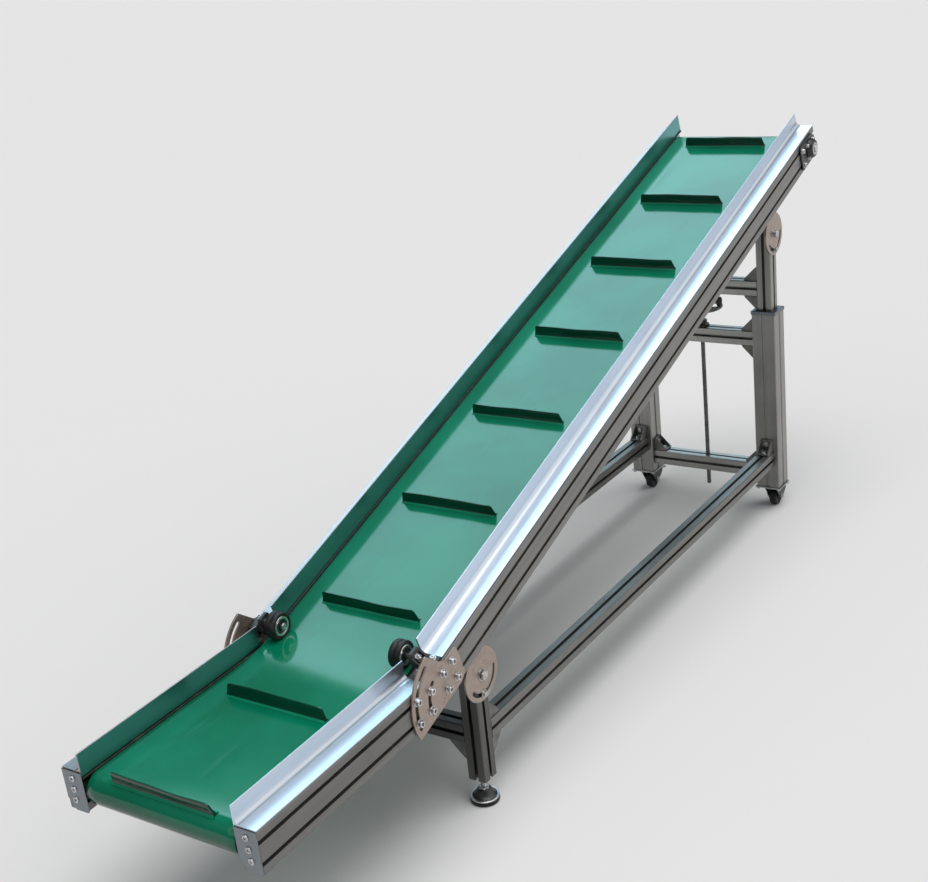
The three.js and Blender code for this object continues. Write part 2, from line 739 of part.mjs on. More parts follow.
for (const [side, hand] of [[-1, 'left'], [1, 'right']]) {
  add(`rail_incline_${hand}`, inclineRail(side), anodised, toIncline);
  add(`guard_incline_${hand}`, guard(side, inclineGuardStart, inclineLength), bright, toIncline);
  add(`head_bearing_${hand}`, headBearing(side), dark, toIncline);
  add(`knee_plate_${hand}`, kneePlate(side), plateGrey, toIncline);
  add(`press_bracket_${hand}`, pressBracket(side), dark, toIncline);
  add(`press_wheel_${hand}`, pressWheel(side), black, toIncline);
  add(`front_hinge_${hand}`, hingePlate(side, hingeAlong(frontLegY), gap), plateGrey, toIncline);
  const rearHinge = hingePlate(side, hingeAlong(rearLegY), openPivotGap);
  add(`rear_hinge_${hand}`, rearHinge, plateGrey, toIncline);
  add(`rail_infeed_${hand}`, infeedRail(side), anodised, toInfeed);
  add(`guard_infeed_${hand}`, guard(side, infeedRailStart, infeedGuardEnd), bright, toInfeed);
  add(`end_plate_${hand}`, endPlate(side), bright, toInfeed);
  add(`front_leg_${hand}`, frontLeg(side), anodised);
  add(`bottom_rail_${hand}`, bottomRail(side), anodised);
  add(`rear_outer_leg_${hand}`, rearOuterLeg(side), anodised);
  add(`leg_cap_${hand}`, legCap(side), bright);
  add(`inner_leg_${hand}`, innerLeg(side), anodised);
  add(`caster_plate_${hand}`, casterPlate(side), steel);
  add(`caster_fork_${hand}`, casterFork(side), dark);
  add(`caster_wheel_${hand}`, casterWheel(side), black);
  add(`brake_pedal_${hand}`, brakePedal(side), dark);
  add(`levelling_foot_${hand}`, levellingFoot(side), black);
}

export default group;
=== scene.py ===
import json
from math import atan2, cos, degrees, pi, radians, sin, tau
import bmesh
import bpy
from mathutils import Matrix, Vector


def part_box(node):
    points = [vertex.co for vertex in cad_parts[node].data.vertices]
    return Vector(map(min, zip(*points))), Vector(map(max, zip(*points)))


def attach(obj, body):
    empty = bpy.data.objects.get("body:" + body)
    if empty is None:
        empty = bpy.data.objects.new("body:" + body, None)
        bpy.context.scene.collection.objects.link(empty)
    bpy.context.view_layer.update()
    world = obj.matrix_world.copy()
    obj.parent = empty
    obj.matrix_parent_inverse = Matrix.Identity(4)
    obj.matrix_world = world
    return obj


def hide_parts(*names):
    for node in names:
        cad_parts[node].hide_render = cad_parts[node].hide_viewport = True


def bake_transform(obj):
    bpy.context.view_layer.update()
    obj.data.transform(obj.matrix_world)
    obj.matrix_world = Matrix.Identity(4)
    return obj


# Knuckled belt conveyor on its wheeled stand. Shapes are worked out in millimetres and placed in metres.
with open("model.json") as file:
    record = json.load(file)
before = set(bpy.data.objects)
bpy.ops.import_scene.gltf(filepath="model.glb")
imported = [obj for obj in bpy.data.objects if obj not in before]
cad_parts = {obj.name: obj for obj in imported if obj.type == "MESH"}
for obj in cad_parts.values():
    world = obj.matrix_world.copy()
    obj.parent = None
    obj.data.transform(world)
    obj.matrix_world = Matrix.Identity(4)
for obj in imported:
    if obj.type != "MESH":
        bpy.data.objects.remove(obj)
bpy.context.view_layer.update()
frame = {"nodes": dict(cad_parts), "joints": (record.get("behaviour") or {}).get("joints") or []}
nodes = frame["nodes"]
joints = {joint["name"]: joint for joint in frame["joints"]}
mm = 0.001
hands = {"left": -1, "right": 1}
print("frame loaded,", len(nodes), "nodes")


# the straight runs of the conveyor, read from the frame
def faceUp(node):
    # direction that the upward faces of a rail look along
    total = Vector()
    for face in nodes[node].data.polygons:
        if face.normal.z > 0.5 and abs(face.normal.x) < 0.01:
            total += face.normal * face.area
    return total.normalized()


class Run:
    # x across, s along from the knee, n above the rail tops, all in millimetres
    def __init__(self, rail):
        self.up = faceUp(rail)
        self.along = Vector((0, self.up.z, -self.up.y))
        self.slope = atan2(self.along.z, self.along.y)
        self.level = max(vertex.co.dot(self.up) for vertex in nodes[rail].data.vertices)
        self.knee = Vector()

    def place(self):
        across = Vector((1, 0, 0))
        axes = Matrix((across, self.along, self.up)).transposed().to_4x4()
        return Matrix.Translation(self.knee) @ axes @ Matrix.Scale(mm, 4)

    def at(self, x, s, n):
        return self.place() @ Vector((x, s, n))

    def reach(self, node):
        back = self.place().inverted()
        spots = [back @ vertex.co for vertex in nodes[node].data.vertices]
        low = Vector([min(spot[k] for spot in spots) for k in range(3)])
        high = Vector([max(spot[k] for spot in spots) for k in range(3)])
        return low, high


incline = Run("rail_incline_right")
infeed = Run("rail_infeed_right")


def findKnee(first, second):
    # the rail tops of both runs meet in one line across the machine
    rows = Matrix(((first.up.y, first.up.z), (second.up.y, second.up.z)))
    y, z = rows.inverted() @ Vector((first.level, second.level))
    return Vector((0, y, z))


incline.knee = findKnee(incline, infeed)
infeed.knee = incline.knee.copy()
inclinePlace = incline.place()
infeedPlace = infeed.place()
standPlace = Matrix.Scale(mm, 4)


def boxMm(node):
    low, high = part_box(node)
    return low / mm, high / mm


def sides(low, high):
    # distances from the middle plane to a piece's nearer and farther faces
    return sorted((abs(low.x), abs(high.x)))


def jointSpot(name, run=None):
    # a joint's pivot in millimetres, on a run or on the stand
    spot = Vector(joints[name]["pos_m"])
    return run.place().inverted() @ spot if run else spot / mm


railLow, railHigh = incline.reach("rail_incline_right")
infeedLow = infeed.reach("rail_infeed_right")[0]
halfOver = railHigh.x
railInner = railLow.x
legX = sum(corner.x for corner in boxMm("bottom_rail_right")) / 2
frontLegY = jointSpot("bed_tilt").y
rearLegY = jointSpot("rear_hinge_turn").y
print("runs found, slopes", round(degrees(incline.slope), 2), round(degrees(infeed.slope), 2))


# shader writing
class Wire:
    # one output of a node; arithmetic on it adds Math nodes
    def __init__(self, finish, socket):
        self.finish = finish
        self.socket = socket

    def sum(self, operation, first, second=0.0):
        return self.finish.add("ShaderNodeMath", {"operation": operation}, {0: first, 1: second})

    def __add__(self, other):
        return self.sum("ADD", self, other)

    def __radd__(self, other):
        return self.sum("ADD", other, self)

    def __sub__(self, other):
        return self.sum("SUBTRACT", self, other)

    def __rsub__(self, other):
        return self.sum("SUBTRACT", other, self)

    def __mul__(self, other):
        return self.sum("MULTIPLY", self, other)

    def __rmul__(self, other):
        return self.sum("MULTIPLY", other, self)

    def between(self, low, high):
        # 0 at low, 1 at high, eased
        settings = {"interpolation_type": "SMOOTHSTEP"}
        return self.finish.add("ShaderNodeMapRange", settings, {"Value": self, "From Min": low, "From Max": high})


class Finish:
    def __init__(self, name, **constants):
        self.material = bpy.data.materials.new(name)
        self.material.use_nodes = True
        self.tree = self.material.node_tree
        self.tree.nodes.clear()
        self.shader = self.tree.nodes.new("ShaderNodeBsdfPrincipled")
        output = self.tree.nodes.new("ShaderNodeOutputMaterial")
        self.tree.links.new(self.shader.outputs[0], output.inputs["Surface"])
        for socket, value in constants.items():
            self.feed(self.shader.inputs[socket.replace("_", " ")], value)

    def feed(self, socket, value):
        if isinstance(value, Wire):
            self.tree.links.new(value.socket, socket)
        elif socket.type == "RGBA" and len(value) == 3:
            socket.default_value = (*value, 1.0)
        else:
            socket.default_value = value

    def add(self, kind, settings, sockets, output=0):
        node = self.tree.nodes.new(kind)
        for key, value in settings.items():
            setattr(node, key, value)
        for key, value in sockets.items():
            self.feed(node.inputs[key], value)
        return Wire(self, node.outputs[output])

    def spots(self, stretch=(1.0, 1.0, 1.0), slope=0.0):
        # places on the piece, turned level with its run and stretched
        base = self.add("ShaderNodeTexCoord", {}, {}, "Object")
        if slope:
            settings = {"rotation_type": "X_AXIS"}
            base = self.add("ShaderNodeVectorRotate", settings, {"Vector": base, "Angle": -slope})
        return self.add("ShaderNodeVectorMath", {"operation": "MULTIPLY"}, {0: base, 1: stretch})

    def noise(self, vector, scale, detail=3.0, rough=0.5):
        sockets = {"Vector": vector, "Scale": scale, "Detail": detail, "Roughness": rough}
        return self.add("ShaderNodeTexNoise", {}, sockets)

    def mottle(self, scale, detail=3.0, rough=0.5):
        return self.noise(self.spots(), scale, detail, rough)

    def tint(self, factor, first, second):
        return self.add("ShaderNodeMix", {"data_type": "RGBA"}, {0: factor, 6: first, 7: second}, 2)

    def bump(self, height, strength, distance, normal=None):
        sockets = {"Strength": strength, "Distance": distance, "Height": height}
        if normal:
            sockets["Normal"] = normal
        return self.add("ShaderNodeBump", {}, sockets)

    def softEdges(self, radius):
        return self.add("ShaderNodeBevel", {"samples": 4}, {"Radius": radius * mm})

    def edgeWearAndHighlightMask(self, rounded):
        # how far the rounded normal leans from the flat one
        flat = self.add("ShaderNodeNewGeometry", {}, {}, "Normal")
        settings = {"operation": "DOT_PRODUCT"}
        facing = self.add("ShaderNodeVectorMath", settings, {0: rounded, 1: flat}, "Value")
        return (1.0 - facing).between(0.02, 0.2)

    def recess(self, reach):
        settings = {"samples": 4, "only_local": True}
        return self.add("ShaderNodeAmbientOcclusion", settings, {"Distance": reach * mm}, "AO")

    def paint(self, **wires):
        for socket, wire in wires.items():
            self.feed(self.shader.inputs[socket.replace("_", " ")], wire)
        return self.material


built = {}
slotOf = {}


def finishFor(slot):
    # each finish is built the first time that a piece asks for it, and brings its material slot
    def wrap(build):
        def ask(*args):
            key = (build.__name__, *args)
            if key not in built:
                built[key] = build(*args)
                slotOf[built[key].name] = slot
            return built[key]
        return ask
    return wrap


stretches = {
    "across": (0.02, 1.0, 1.0), "along": (1.0, 0.02, 1.0), "upright": (1.0, 1.0, 0.02), "none": (1.0, 1.0, 1.0),
}

profileLook = {
    "light": (0.275, 0.270, 0.258), "dark": (0.205, 0.201, 0.192), "paintedRecessShade": (0.018, 0.018, 0.017),
    "wornAndHighlight": (0.50, 0.50, 0.49), "roughness": 0.36, "dieLines": 520.0, "wideLines": 90.0, "handling": 11.0,
}


def toned(colour, share):
    # share is one number, or one for each of red, green and blue
    shares = share if isinstance(share, tuple) else (share, share, share)
    return tuple(part * scale for part, scale in zip(colour, shares))


@finishFor("anodised_profile")
def anodisedProfile(grain, slope, tone=1.0):
    look = profileLook
    # tone scales the whole colour: a painted light and shade level for the part
    finish = Finish(f"anodised profile {grain} {slope:.2f} {tone:.2f}", Metallic=0.85)
    run = finish.spots(stretches[grain], slope)
    fineLines = finish.noise(run, look["dieLines"], 2.0)
    wideLines = finish.noise(run, look["wideLines"], 3.0)
    marks = finish.mottle(look["handling"], 5.0, 0.62)
    rounded = finish.softEdges(0.7)
    edgeWearAndHighlight = finish.edgeWearAndHighlightMask(rounded) * marks.between(0.35, 0.6)
    # ambient occlusion pulls the colour in the slots and recesses toward near black: painted shade
    openness = finish.recess(9.0).between(0.25, 0.8)
    blend = (wideLines * 0.6 + marks * 0.4).between(0.3, 0.7)
    body = finish.tint(blend, toned(look["dark"], tone), toned(look["light"], tone))
    wornAndHighlight = finish.tint(edgeWearAndHighlight * 0.7, body, look["wornAndHighlight"])
    colour = finish.tint(openness, look["paintedRecessShade"], wornAndHighlight)
    rough = look["roughness"] + (fineLines - 0.5) * 0.25 + (marks - 0.5) * 0.22 + (1.0 - openness) * 0.3
    normal = finish.bump(fineLines * 0.6 + wideLines * 0.4, 0.10, 0.25 * mm, rounded)
    return finish.paint(Base_Color=colour, Roughness=rough, Normal=normal)


sheetLook = {
    "light": (0.76, 0.83, 0.92), "dark": (0.69, 0.76, 0.86), "scuff": (0.50, 0.53, 0.57),
    "roughness": 0.30, "rollLines": 650.0, "clouds": 5.0,
}
# tints that scale each sheet's colour for how light falls and what it mirrors: painted shade on the left guard,
# end plates and leg caps, painted shade and a painted green reflection of the belt on the inner guard faces
sheetPaintedLight = {
    "right": (0.91, 0.92, 0.92), "left": (0.56, 0.46, 0.42), "inside": (0.20, 0.50, 0.455),
    "end": (0.30, 0.30, 0.29), "cap": (0.24, 0.24, 0.24),
}


@finishFor("bright_aluminium")
def brightAluminium(grain, slope, part):
    # part picks how dark a room the sheet mirrors
    look = sheetLook
    tone = sheetPaintedLight[part]
    finish = Finish(f"bright aluminium {part} {grain} {slope:.2f}", Metallic=0.95)
    lines = finish.noise(finish.spots(stretches[grain], slope), look["rollLines"], 2.0)
    clouds = finish.mottle(look["clouds"], 4.0, 0.55)
    marks = finish.mottle(60.0, 6.0, 0.7).between(0.64, 0.76)
    rounded = finish.softEdges(0.5)
    blend = (clouds * 0.6 + lines * 0.4).between(0.3, 0.7)
    body = finish.tint(blend, toned(look["dark"], tone), toned(look["light"], tone))
    colour = finish.tint(marks * 0.25, body, toned(look["scuff"], tone))
    rough = look["roughness"] + (lines - 0.5) * 0.05 + (clouds - 0.5) * 0.06 + marks * 0.08
    normal = finish.bump(lines, 0.006, 0.2 * mm, rounded)
    return finish.paint(Base_Color=colour, Roughness=rough, Normal=normal)


beltLook = {
    "deep": (0.0008, 0.150, 0.074), "fresh": (0.0020, 0.215, 0.112), "scuffed": (0.020, 0.26, 0.165),
    "dust": (0.18, 0.30, 0.24), "roughness": 0.13, "clouds": 3.2, "pebble": 900.0,
}


@finishFor("belt_green")
def beltCover(share):
    # share scales the skin's colour: painted shade on the upright cleat walls, a painted highlight on the cleat
    # foot
    look = beltLook
    finish = Finish(f"green belt cover {share:.2f}", Specular_IOR_Level=0.36, Coat_Roughness=0.08)
    clouds = finish.mottle(look["clouds"], 4.0, 0.5)
    rubbed = finish.noise(finish.spots((1.0, 0.10, 0.10)), 34.0, 5.0, 0.65).between(0.56, 0.78)
    specks = finish.mottle(420.0, 2.0).between(0.70, 0.80)
    pebble = finish.mottle(look["pebble"], 2.0)
    swell = finish.noise(finish.spots((1.0, 0.6, 0.6)), 5.5, 2.0)
    body = finish.tint(clouds.between(0.35, 0.65), toned(look["deep"], share), toned(look["fresh"], share))
    used = finish.tint(rubbed * 0.22, body, toned(look["scuffed"], share))
    colour = finish.tint(specks * 0.30, used, toned(look["dust"], share))
    rough = look["roughness"] + (clouds - 0.5) * 0.10 + rubbed * 0.12 + specks * 0.2
    fine = finish.bump(pebble, 0.05, 0.05 * mm)
    normal = finish.bump(swell, 0.12, 4.0 * mm, fine)
    coat = 0.12 + (clouds - 0.5) * 0.2
    return finish.paint(Base_Color=colour, Roughness=rough, Coat_Weight=coat, Normal=normal)


@finishFor("belt_green")
def beltFabric():
    # woven polyester on the running side
    finish = Finish("belt running side weave", Specular_IOR_Level=0.3)
    spots = finish.spots()
    settings = {"wave_type": "BANDS", "bands_direction": "X"}
    warp = finish.add("ShaderNodeTexWave", settings, {"Vector": spots, "Scale": 260.0, "Distortion": 0.6}, 1)
    settings = {"wave_type": "BANDS", "bands_direction": "Y"}
    weft = finish.add("ShaderNodeTexWave", settings, {"Vector": spots, "Scale": 260.0, "Distortion": 0.6}, 1)
    fluff = finish.noise(spots, 240.0, 4.0, 0.6)
    weave = warp * 0.5 + weft * 0.5
    colour = finish.tint(weave * 0.7 + fluff * 0.3, (0.10, 0.16, 0.13), (0.30, 0.36, 0.32))
    normal = finish.bump(weave, 0.35, 0.3 * mm)
    return finish.paint(Base_Color=colour, Roughness=0.75 + (fluff - 0.5) * 0.2, Normal=normal)


plateLook = {
    "light": (0.47, 0.385, 0.33), "dark": (0.335, 0.268, 0.228), "wornAndHighlight": (0.80, 0.73, 0.68),
    "roughness": 0.33, "brush": 420.0, "spangle": 70.0,
}


@finishFor("zinc_plate")
def zincPlate():
    look = plateLook
    finish = Finish("zinc plated sheet", Metallic=0.7)
    brush = finish.noise(finish.spots((1.0, 0.08, 1.0)), look["brush"], 2.0)
    settings = {"feature": "F1"}
    spangle = finish.add("ShaderNodeTexVoronoi", settings, {"Vector": finish.spots(), "Scale": look["spangle"]})
    clouds = finish.mottle(22.0, 4.0, 0.6)
    rounded = finish.softEdges(0.4)
    # every edge of the plate is lightened toward pinkish white, with no random mask: a painted highlight along
    # the rims
    edgeWearAndHighlight = finish.edgeWearAndHighlightMask(rounded)
    blend = (brush * 0.3 + clouds * 0.5 + spangle * 0.2).between(0.2, 0.7)
    body = finish.tint(blend, look["dark"], look["light"])
    colour = finish.tint(edgeWearAndHighlight * 0.7, body, look["wornAndHighlight"])
    rough = look["roughness"] + (brush - 0.5) * 0.22 + (clouds - 0.5) * 0.2
    normal = finish.bump(brush * 0.6 + spangle * 0.4, 0.05, 0.15 * mm, rounded)
    return finish.paint(Base_Color=colour, Roughness=rough, Normal=normal)


steelLook = {"light": (0.72, 0.72, 0.73), "dark": (0.42, 0.42, 0.43), "roughness": 0.22, "lathe": 900.0}


@finishFor("turned_steel")
def turnedSteel(share):
    look = steelLook
    finish = Finish(f"turned steel {share:.2f}", Metallic=1.0)
    lathe = finish.noise(finish.spots((1.0, 0.2, 0.2)), look["lathe"], 2.0)
    stain = finish.mottle(38.0, 5.0, 0.65)
    blend = (lathe * 0.3 + stain * 0.7).between(0.3, 0.65)
    colour = finish.tint(blend, toned(look["dark"], share), toned(look["light"], share))
    rough = look["roughness"] + (lathe - 0.5) * 0.2 + stain * 0.12
    normal = finish.bump(lathe, 0.08, 0.1 * mm)
    return finish.paint(Base_Color=colour, Roughness=rough, Normal=normal)


castLook = {"light": (0.27, 0.265, 0.255), "dark": (0.13, 0.128, 0.122), "wornAndHighlight": (0.45, 0.45, 0.44)}


@finishFor("anodised_profile")
def castBracket():
    look = castLook
    finish = Finish("die cast bracket", Metallic=0.75)
    sand = finish.mottle(700.0, 3.0, 0.6)
    clouds = finish.mottle(40.0, 4.0, 0.6)
    rounded = finish.softEdges(0.5)
    edgeWearAndHighlight = finish.edgeWearAndHighlightMask(rounded) * clouds.between(0.4, 0.6)
    body = finish.tint((sand * 0.4 + clouds * 0.6).between(0.3, 0.7), look["dark"], look["light"])
    colour = finish.tint(edgeWearAndHighlight * 0.6, body, look["wornAndHighlight"])
    normal = finish.bump(sand, 0.22, 0.2 * mm, rounded)
    return finish.paint(Base_Color=colour, Roughness=0.42 + (sand - 0.5) * 0.2, Normal=normal)


darkLook = {"light": (0.060, 0.060, 0.062), "dark": (0.018, 0.018, 0.019), "chip": (0.30, 0.29, 0.28)}


@finishFor("dark_metal")
def darkMetal():
    # black painted castings and pressings
    look = darkLook
    finish = Finish("black painted metal", Metallic=0.35, Coat_Roughness=0.3)
    orangePeel = finish.mottle(480.0, 3.0, 0.55)
    clouds = finish.mottle(30.0, 5.0, 0.65)
    rounded = finish.softEdges(0.5)
    chips = finish.edgeWearAndHighlightMask(rounded) * clouds.between(0.5, 0.62)
    body = finish.tint(clouds.between(0.3, 0.7), look["dark"], look["light"])
    colour = finish.tint(chips * 0.7, body, look["chip"])
    normal = finish.bump(orangePeel, 0.20, 0.2 * mm, rounded)
    coat = 0.15 + (clouds - 0.5) * 0.2
    rough = 0.38 + (orangePeel - 0.5) * 0.2 + (clouds - 0.5) * 0.15
    return finish.paint(Base_Color=colour, Roughness=rough, Coat_Weight=coat, Normal=normal)


@finishFor("black_rubber")
def blackRubber():
    finish = Finish("black rubber", Specular_IOR_Level=0.4)
    grit = finish.mottle(600.0, 4.0, 0.65)
    dust = finish.mottle(45.0, 5.0, 0.65)
    colour = finish.tint(dust.between(0.45, 0.75), (0.010, 0.010, 0.011), (0.050, 0.047, 0.045))
    normal = finish.bump(grit, 0.25, 0.25 * mm)
    return finish.paint(Base_Color=colour, Roughness=0.46 + (dust - 0.5) * 0.35, Normal=normal)


@finishFor("black_plastic")
def blackPlastic():
    finish = Finish("moulded black plastic", Specular_IOR_Level=0.5)
    settings = {"feature": "SMOOTH_F1"}
    stipple = finish.add("ShaderNodeTexVoronoi", settings, {"Vector": finish.spots(), "Scale": 900.0})
    clouds = finish.mottle(26.0, 4.0, 0.6)
    colour = finish.tint(clouds.between(0.35, 0.65), (0.018, 0.018, 0.020), (0.042, 0.042, 0.045))
    normal = finish.bump(stipple, 0.18, 0.15 * mm)
    return finish.paint(Base_Color=colour, Roughness=0.40 + (clouds - 0.5) * 0.25, Normal=normal)


@finishFor("bed_steel")
def trayPaint():
    # pressed steel tray under the belt, rubbed by the weave
    finish = Finish("slider tray steel", Metallic=0.9)
    rubbed = finish.noise(finish.spots((1.0, 0.03, 0.2)), 260.0, 4.0, 0.6)
    clouds = finish.mottle(14.0, 4.0, 0.6)
    colour = finish.tint((rubbed * 0.5 + clouds * 0.5).between(0.3, 0.7), (0.34, 0.345, 0.35), (0.60, 0.61, 0.62))
    normal = finish.bump(rubbed, 0.10, 0.2 * mm)
    return finish.paint(Base_Color=colour, Roughness=0.30 + clouds * 0.2, Normal=normal)


@finishFor("floor")
def studioFloor():
    finish = Finish("pale floor", Specular_IOR_Level=0.0)
    clouds = finish.mottle(1.6, 3.0)
    grain = finish.mottle(160.0, 2.0)
    colour = finish.tint(clouds * 0.6 + grain * 0.4, (0.900, 0.899, 0.898), (0.920, 0.919, 0.918))
    return finish.paint(Base_Color=colour, Roughness=0.9 + (grain - 0.5) * 0.1)


print("finishes ready")


# mesh building
def ringOf(bm, radius, height, place, segments):
    if radius == 0:
        return [bm.verts.new(place @ Vector((0, 0, height)))]
    ring = []
    for k in range(segments):
        angle = tau * k / segments
        r = radius(angle) if callable(radius) else radius
        ring.append(bm.verts.new(place @ Vector((r * cos(angle), r * sin(angle), height))))
    return ring


def bridge(bm, low, high):
    if len(low) == len(high) == 1:
        return
    count = max(len(low), len(high))
    for k in range(count):
        nextK = (k + 1) % count
        corners = [low[k % len(low)], low[nextK % len(low)], high[nextK % len(high)], high[k % len(high)]]
        bm.faces.new(list(dict.fromkeys(corners)))


def turned(bm, profile, place, segments=48, loop=False):
    # [radius, height] pairs about the place's own Z axis
    rings = [ringOf(bm, radius, height, place, segments) for radius, height in profile]
    for low, high in zip(rings, rings[1:] + (rings[:1] if loop else [])):
        bridge(bm, low, high)


def extruded(bm, outline, low, high, place):
    # flat outline in the place's XY plane, pulled from low to high along its Z axis
    bottom = [bm.verts.new(place @ Vector((u, v, low))) for u, v in outline]
    top = [bm.verts.new(place @ Vector((u, v, high))) for u, v in outline]
    bridge(bm, bottom, top)
    bm.faces.new(bottom)
    bm.faces.new(top)


def prism(bm, outline, side, start, end, count):
    # cross-section drawn out along the run
    rings = []
    for k in range(count + 1):
        s = start + (end - start) * k / count
        rings.append([bm.verts.new((side * u, s, v)) for u, v in outline])
    for first, second in zip(rings, rings[1:]):
        bridge(bm, first, second)
    bm.faces.new(rings[0])
    bm.faces.new(rings[-1])


def threadedRod(bm, heights, radiusAt, place, columns):
    # closed rod whose radius follows the height and the angle
    rings = [ringOf(bm, 0, heights[0], place, 1)]
    for height in heights:
        rings.append(ringOf(bm, lambda angle, z=height: radiusAt(z, angle), height, place, columns))
    rings.append(ringOf(bm, 0, heights[-1], place, 1))
    for first, second in zip(rings, rings[1:]):
        bridge(bm, first, second)


def tyreOutline(inside, radius, shoulder, near, far, crown=(), bead=0.0):
    # section of a tyre with round shoulders, from bead to bead
    quarter = [radians(15 * k) for k in range(7)]
    core = radius - shoulder
    outline = [(inside, near + bead)]
    outline += [(core + shoulder * sin(a), near + shoulder - shoulder * cos(a)) for a in quarter]
    outline += crown
    outline += [(core + shoulder * cos(a), far - shoulder + shoulder * sin(a)) for a in quarter]
    return outline + [(inside, far - bead)]


def arc(cu, cv, radius, start, end, steps):
    angles = [radians(start + (end - start) * k / steps) for k in range(steps + 1)]
    return [(cu + radius * cos(a), cv + radius * sin(a)) for a in angles]


def sideways(side):
    # outlines given along and above the run, pulled out across it
    return Matrix(((0, 0, side, 0), (1, 0, 0, 0), (0, 1, 0, 0), (0, 0, 0, 1)))


def facing(spot, direction, spin=0.0):
    # place whose Z axis looks along direction
    turn = Vector(direction).to_track_quat("Z", "Y").to_matrix().to_4x4()
    return Matrix.Translation(Vector(spot)) @ turn @ Matrix.Rotation(spin, 4, "Z")


def hexagon(flats):
    def radius(angle):
        return flats / 2 / cos((angle % (pi / 3)) - pi / 6)
    return radius


def meshObject(name, bm, finishes):
    mesh = bpy.data.meshes.new(name)
    bm.to_mesh(mesh)
    bm.free()
    for material in finishes:
        mesh.materials.append(material)
    made = bpy.data.objects.new(name, mesh)
    bpy.context.scene.collection.objects.link(made)
    return made


def settle(name, bm, finish, body, place, bevel=0.0, smooth=35, replaces=(), slot=None):
    bmesh.ops.recalc_face_normals(bm, faces=bm.faces)
    bm.transform(place)
    finishes = finish if isinstance(finish, list) else [finish]
    slot = slot or slotOf[finishes[0].name]
    piece = meshObject(name, bm, finishes)
    piece.data.shade_smooth()
    piece.data.set_sharp_from_angle(angle=radians(smooth))
    if bevel:
        rounding = piece.modifiers.new("rounded edges", "BEVEL")
        rounding.width = bevel * mm
        rounding.segments = 2
        rounding.limit_method = "ANGLE"
        rounding.angle_limit = radians(32)
        rounding.harden_normals = True
    if body:
        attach(piece, body)
    if replaces:
        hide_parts(*replaces)
    return piece


def refined(node, finish, body, bevel, slot=None):
    # the node's own shape with its edges broken, in place of the raw solid
    bm = bmesh.new()
    bm.from_mesh(nodes[node].data)
    bmesh.ops.remove_doubles(bm, verts=bm.verts, dist=1e-6)
    bmesh.ops.dissolve_limit(bm, angle_limit=radians(0.6), verts=bm.verts, edges=bm.edges)
    return settle(f"{node}_finished", bm, finish, body, Matrix.Identity(4), bevel, 28, (node,), slot)


def dress(node, finish):
    # better finish on a solid that keeps its shape
    for entry in nodes[node].material_slots:
        entry.material = finish


# fasteners, all drawn into a piece's mesh
screwLook = {"socketDepth": 0.55, "crown": 0.8, "washerLift": 1.4}


def capScrew(bm, spot, direction, radius, height, washer=0.0):
    # hexagon socket screw, with an optional plain washer under it
    base = screwLook["washerLift"] if washer else 0.0
    place = facing(spot, direction)
    key = hexagon(radius * 0.95)
    top = base + height
    floor = top - height * screwLook["socketDepth"]
    crown = screwLook["crown"]
    if washer:
        turned(bm, [(0, -0.4), (washer, -0.4), (washer, 1.0), (washer - 0.4, base), (0, base)], place, 32)
    turned(bm, [
        (0, base - 0.4), (radius, base - 0.4), (radius, top - crown), (radius - crown * 0.35, top - crown * 0.3),
        (radius - crown, top), (key, top), (key, floor), (0, floor - radius * 0.15),
    ], place, 36)


def hexBolt(bm, spot, direction, flats, height, washer, stub=0.0):
    # hexagon head or nut on a washer; stub is the threaded end standing through a nut
    place = facing(spot, direction, 0.4)
    lift = 1.8
    top = lift + height
    wide = flats / 2
    turned(bm, [(0, -0.4), (washer, -0.4), (washer, lift - 0.5), (washer - 0.5, lift), (0, lift)], place, 36)
    turned(bm, [
        (0, lift - 0.4), (hexagon(flats), lift - 0.4), (hexagon(flats), top - 1.0), (wide * 1.02, top - 0.1),
        (wide * 0.9, top), (0, top),
    ], place, 36)
    if stub:
        end = top + stub
        outline = [(0, top - 1), (wide * 0.55, top - 1), (wide * 0.55, end - 1), (wide * 0.42, end), (0, end)]
        turned(bm, outline, place, 24)


def cornerBracket(bm, screws, corner, first, second, size=36.0, width=34.0):
    # cast angle with two side webs; first and second point away from the corner along the two members
    u = Vector(first)
    v = Vector(second)
    w = u.cross(v)
    place = Matrix.Translation(Vector(corner)) @ Matrix((u, v, w)).transposed().to_4x4()
    foot = 4.5
    half = width / 2
    lift = 0.4
    angle = [(lift, lift), (size, lift), (size, foot), (foot + 3, foot), (foot, foot + 3), (foot, size)]
    extruded(bm, angle + [(lift, size)], -half, half, place)
    root = lift + 1
    tip = size - 1
    web = [(root, root), (tip, root), (tip, foot + 1), (foot + 1, tip), (root, tip)]
    extruded(bm, web, half - 4, half - 0.4, place)
    extruded(bm, web, 0.4 - half, 4 - half, place)
    reach = size * 0.62
    capScrew(screws, place @ Vector((reach, foot, 0)), v, 6.2, 4.2, 7.6)
    capScrew(screws, place @ Vector((foot, reach, 0)), u, 6.2, 4.2, 7.6)


# the belt
beltSize = {
    "halfWidth": 164.5, "thickness": 3.0, "drop": 9.5, "kneeReach": 78.0, "columns": 18, "swell": 0.22,
    "drumRadius": 28.5, "bendRadius": 15.5,
}


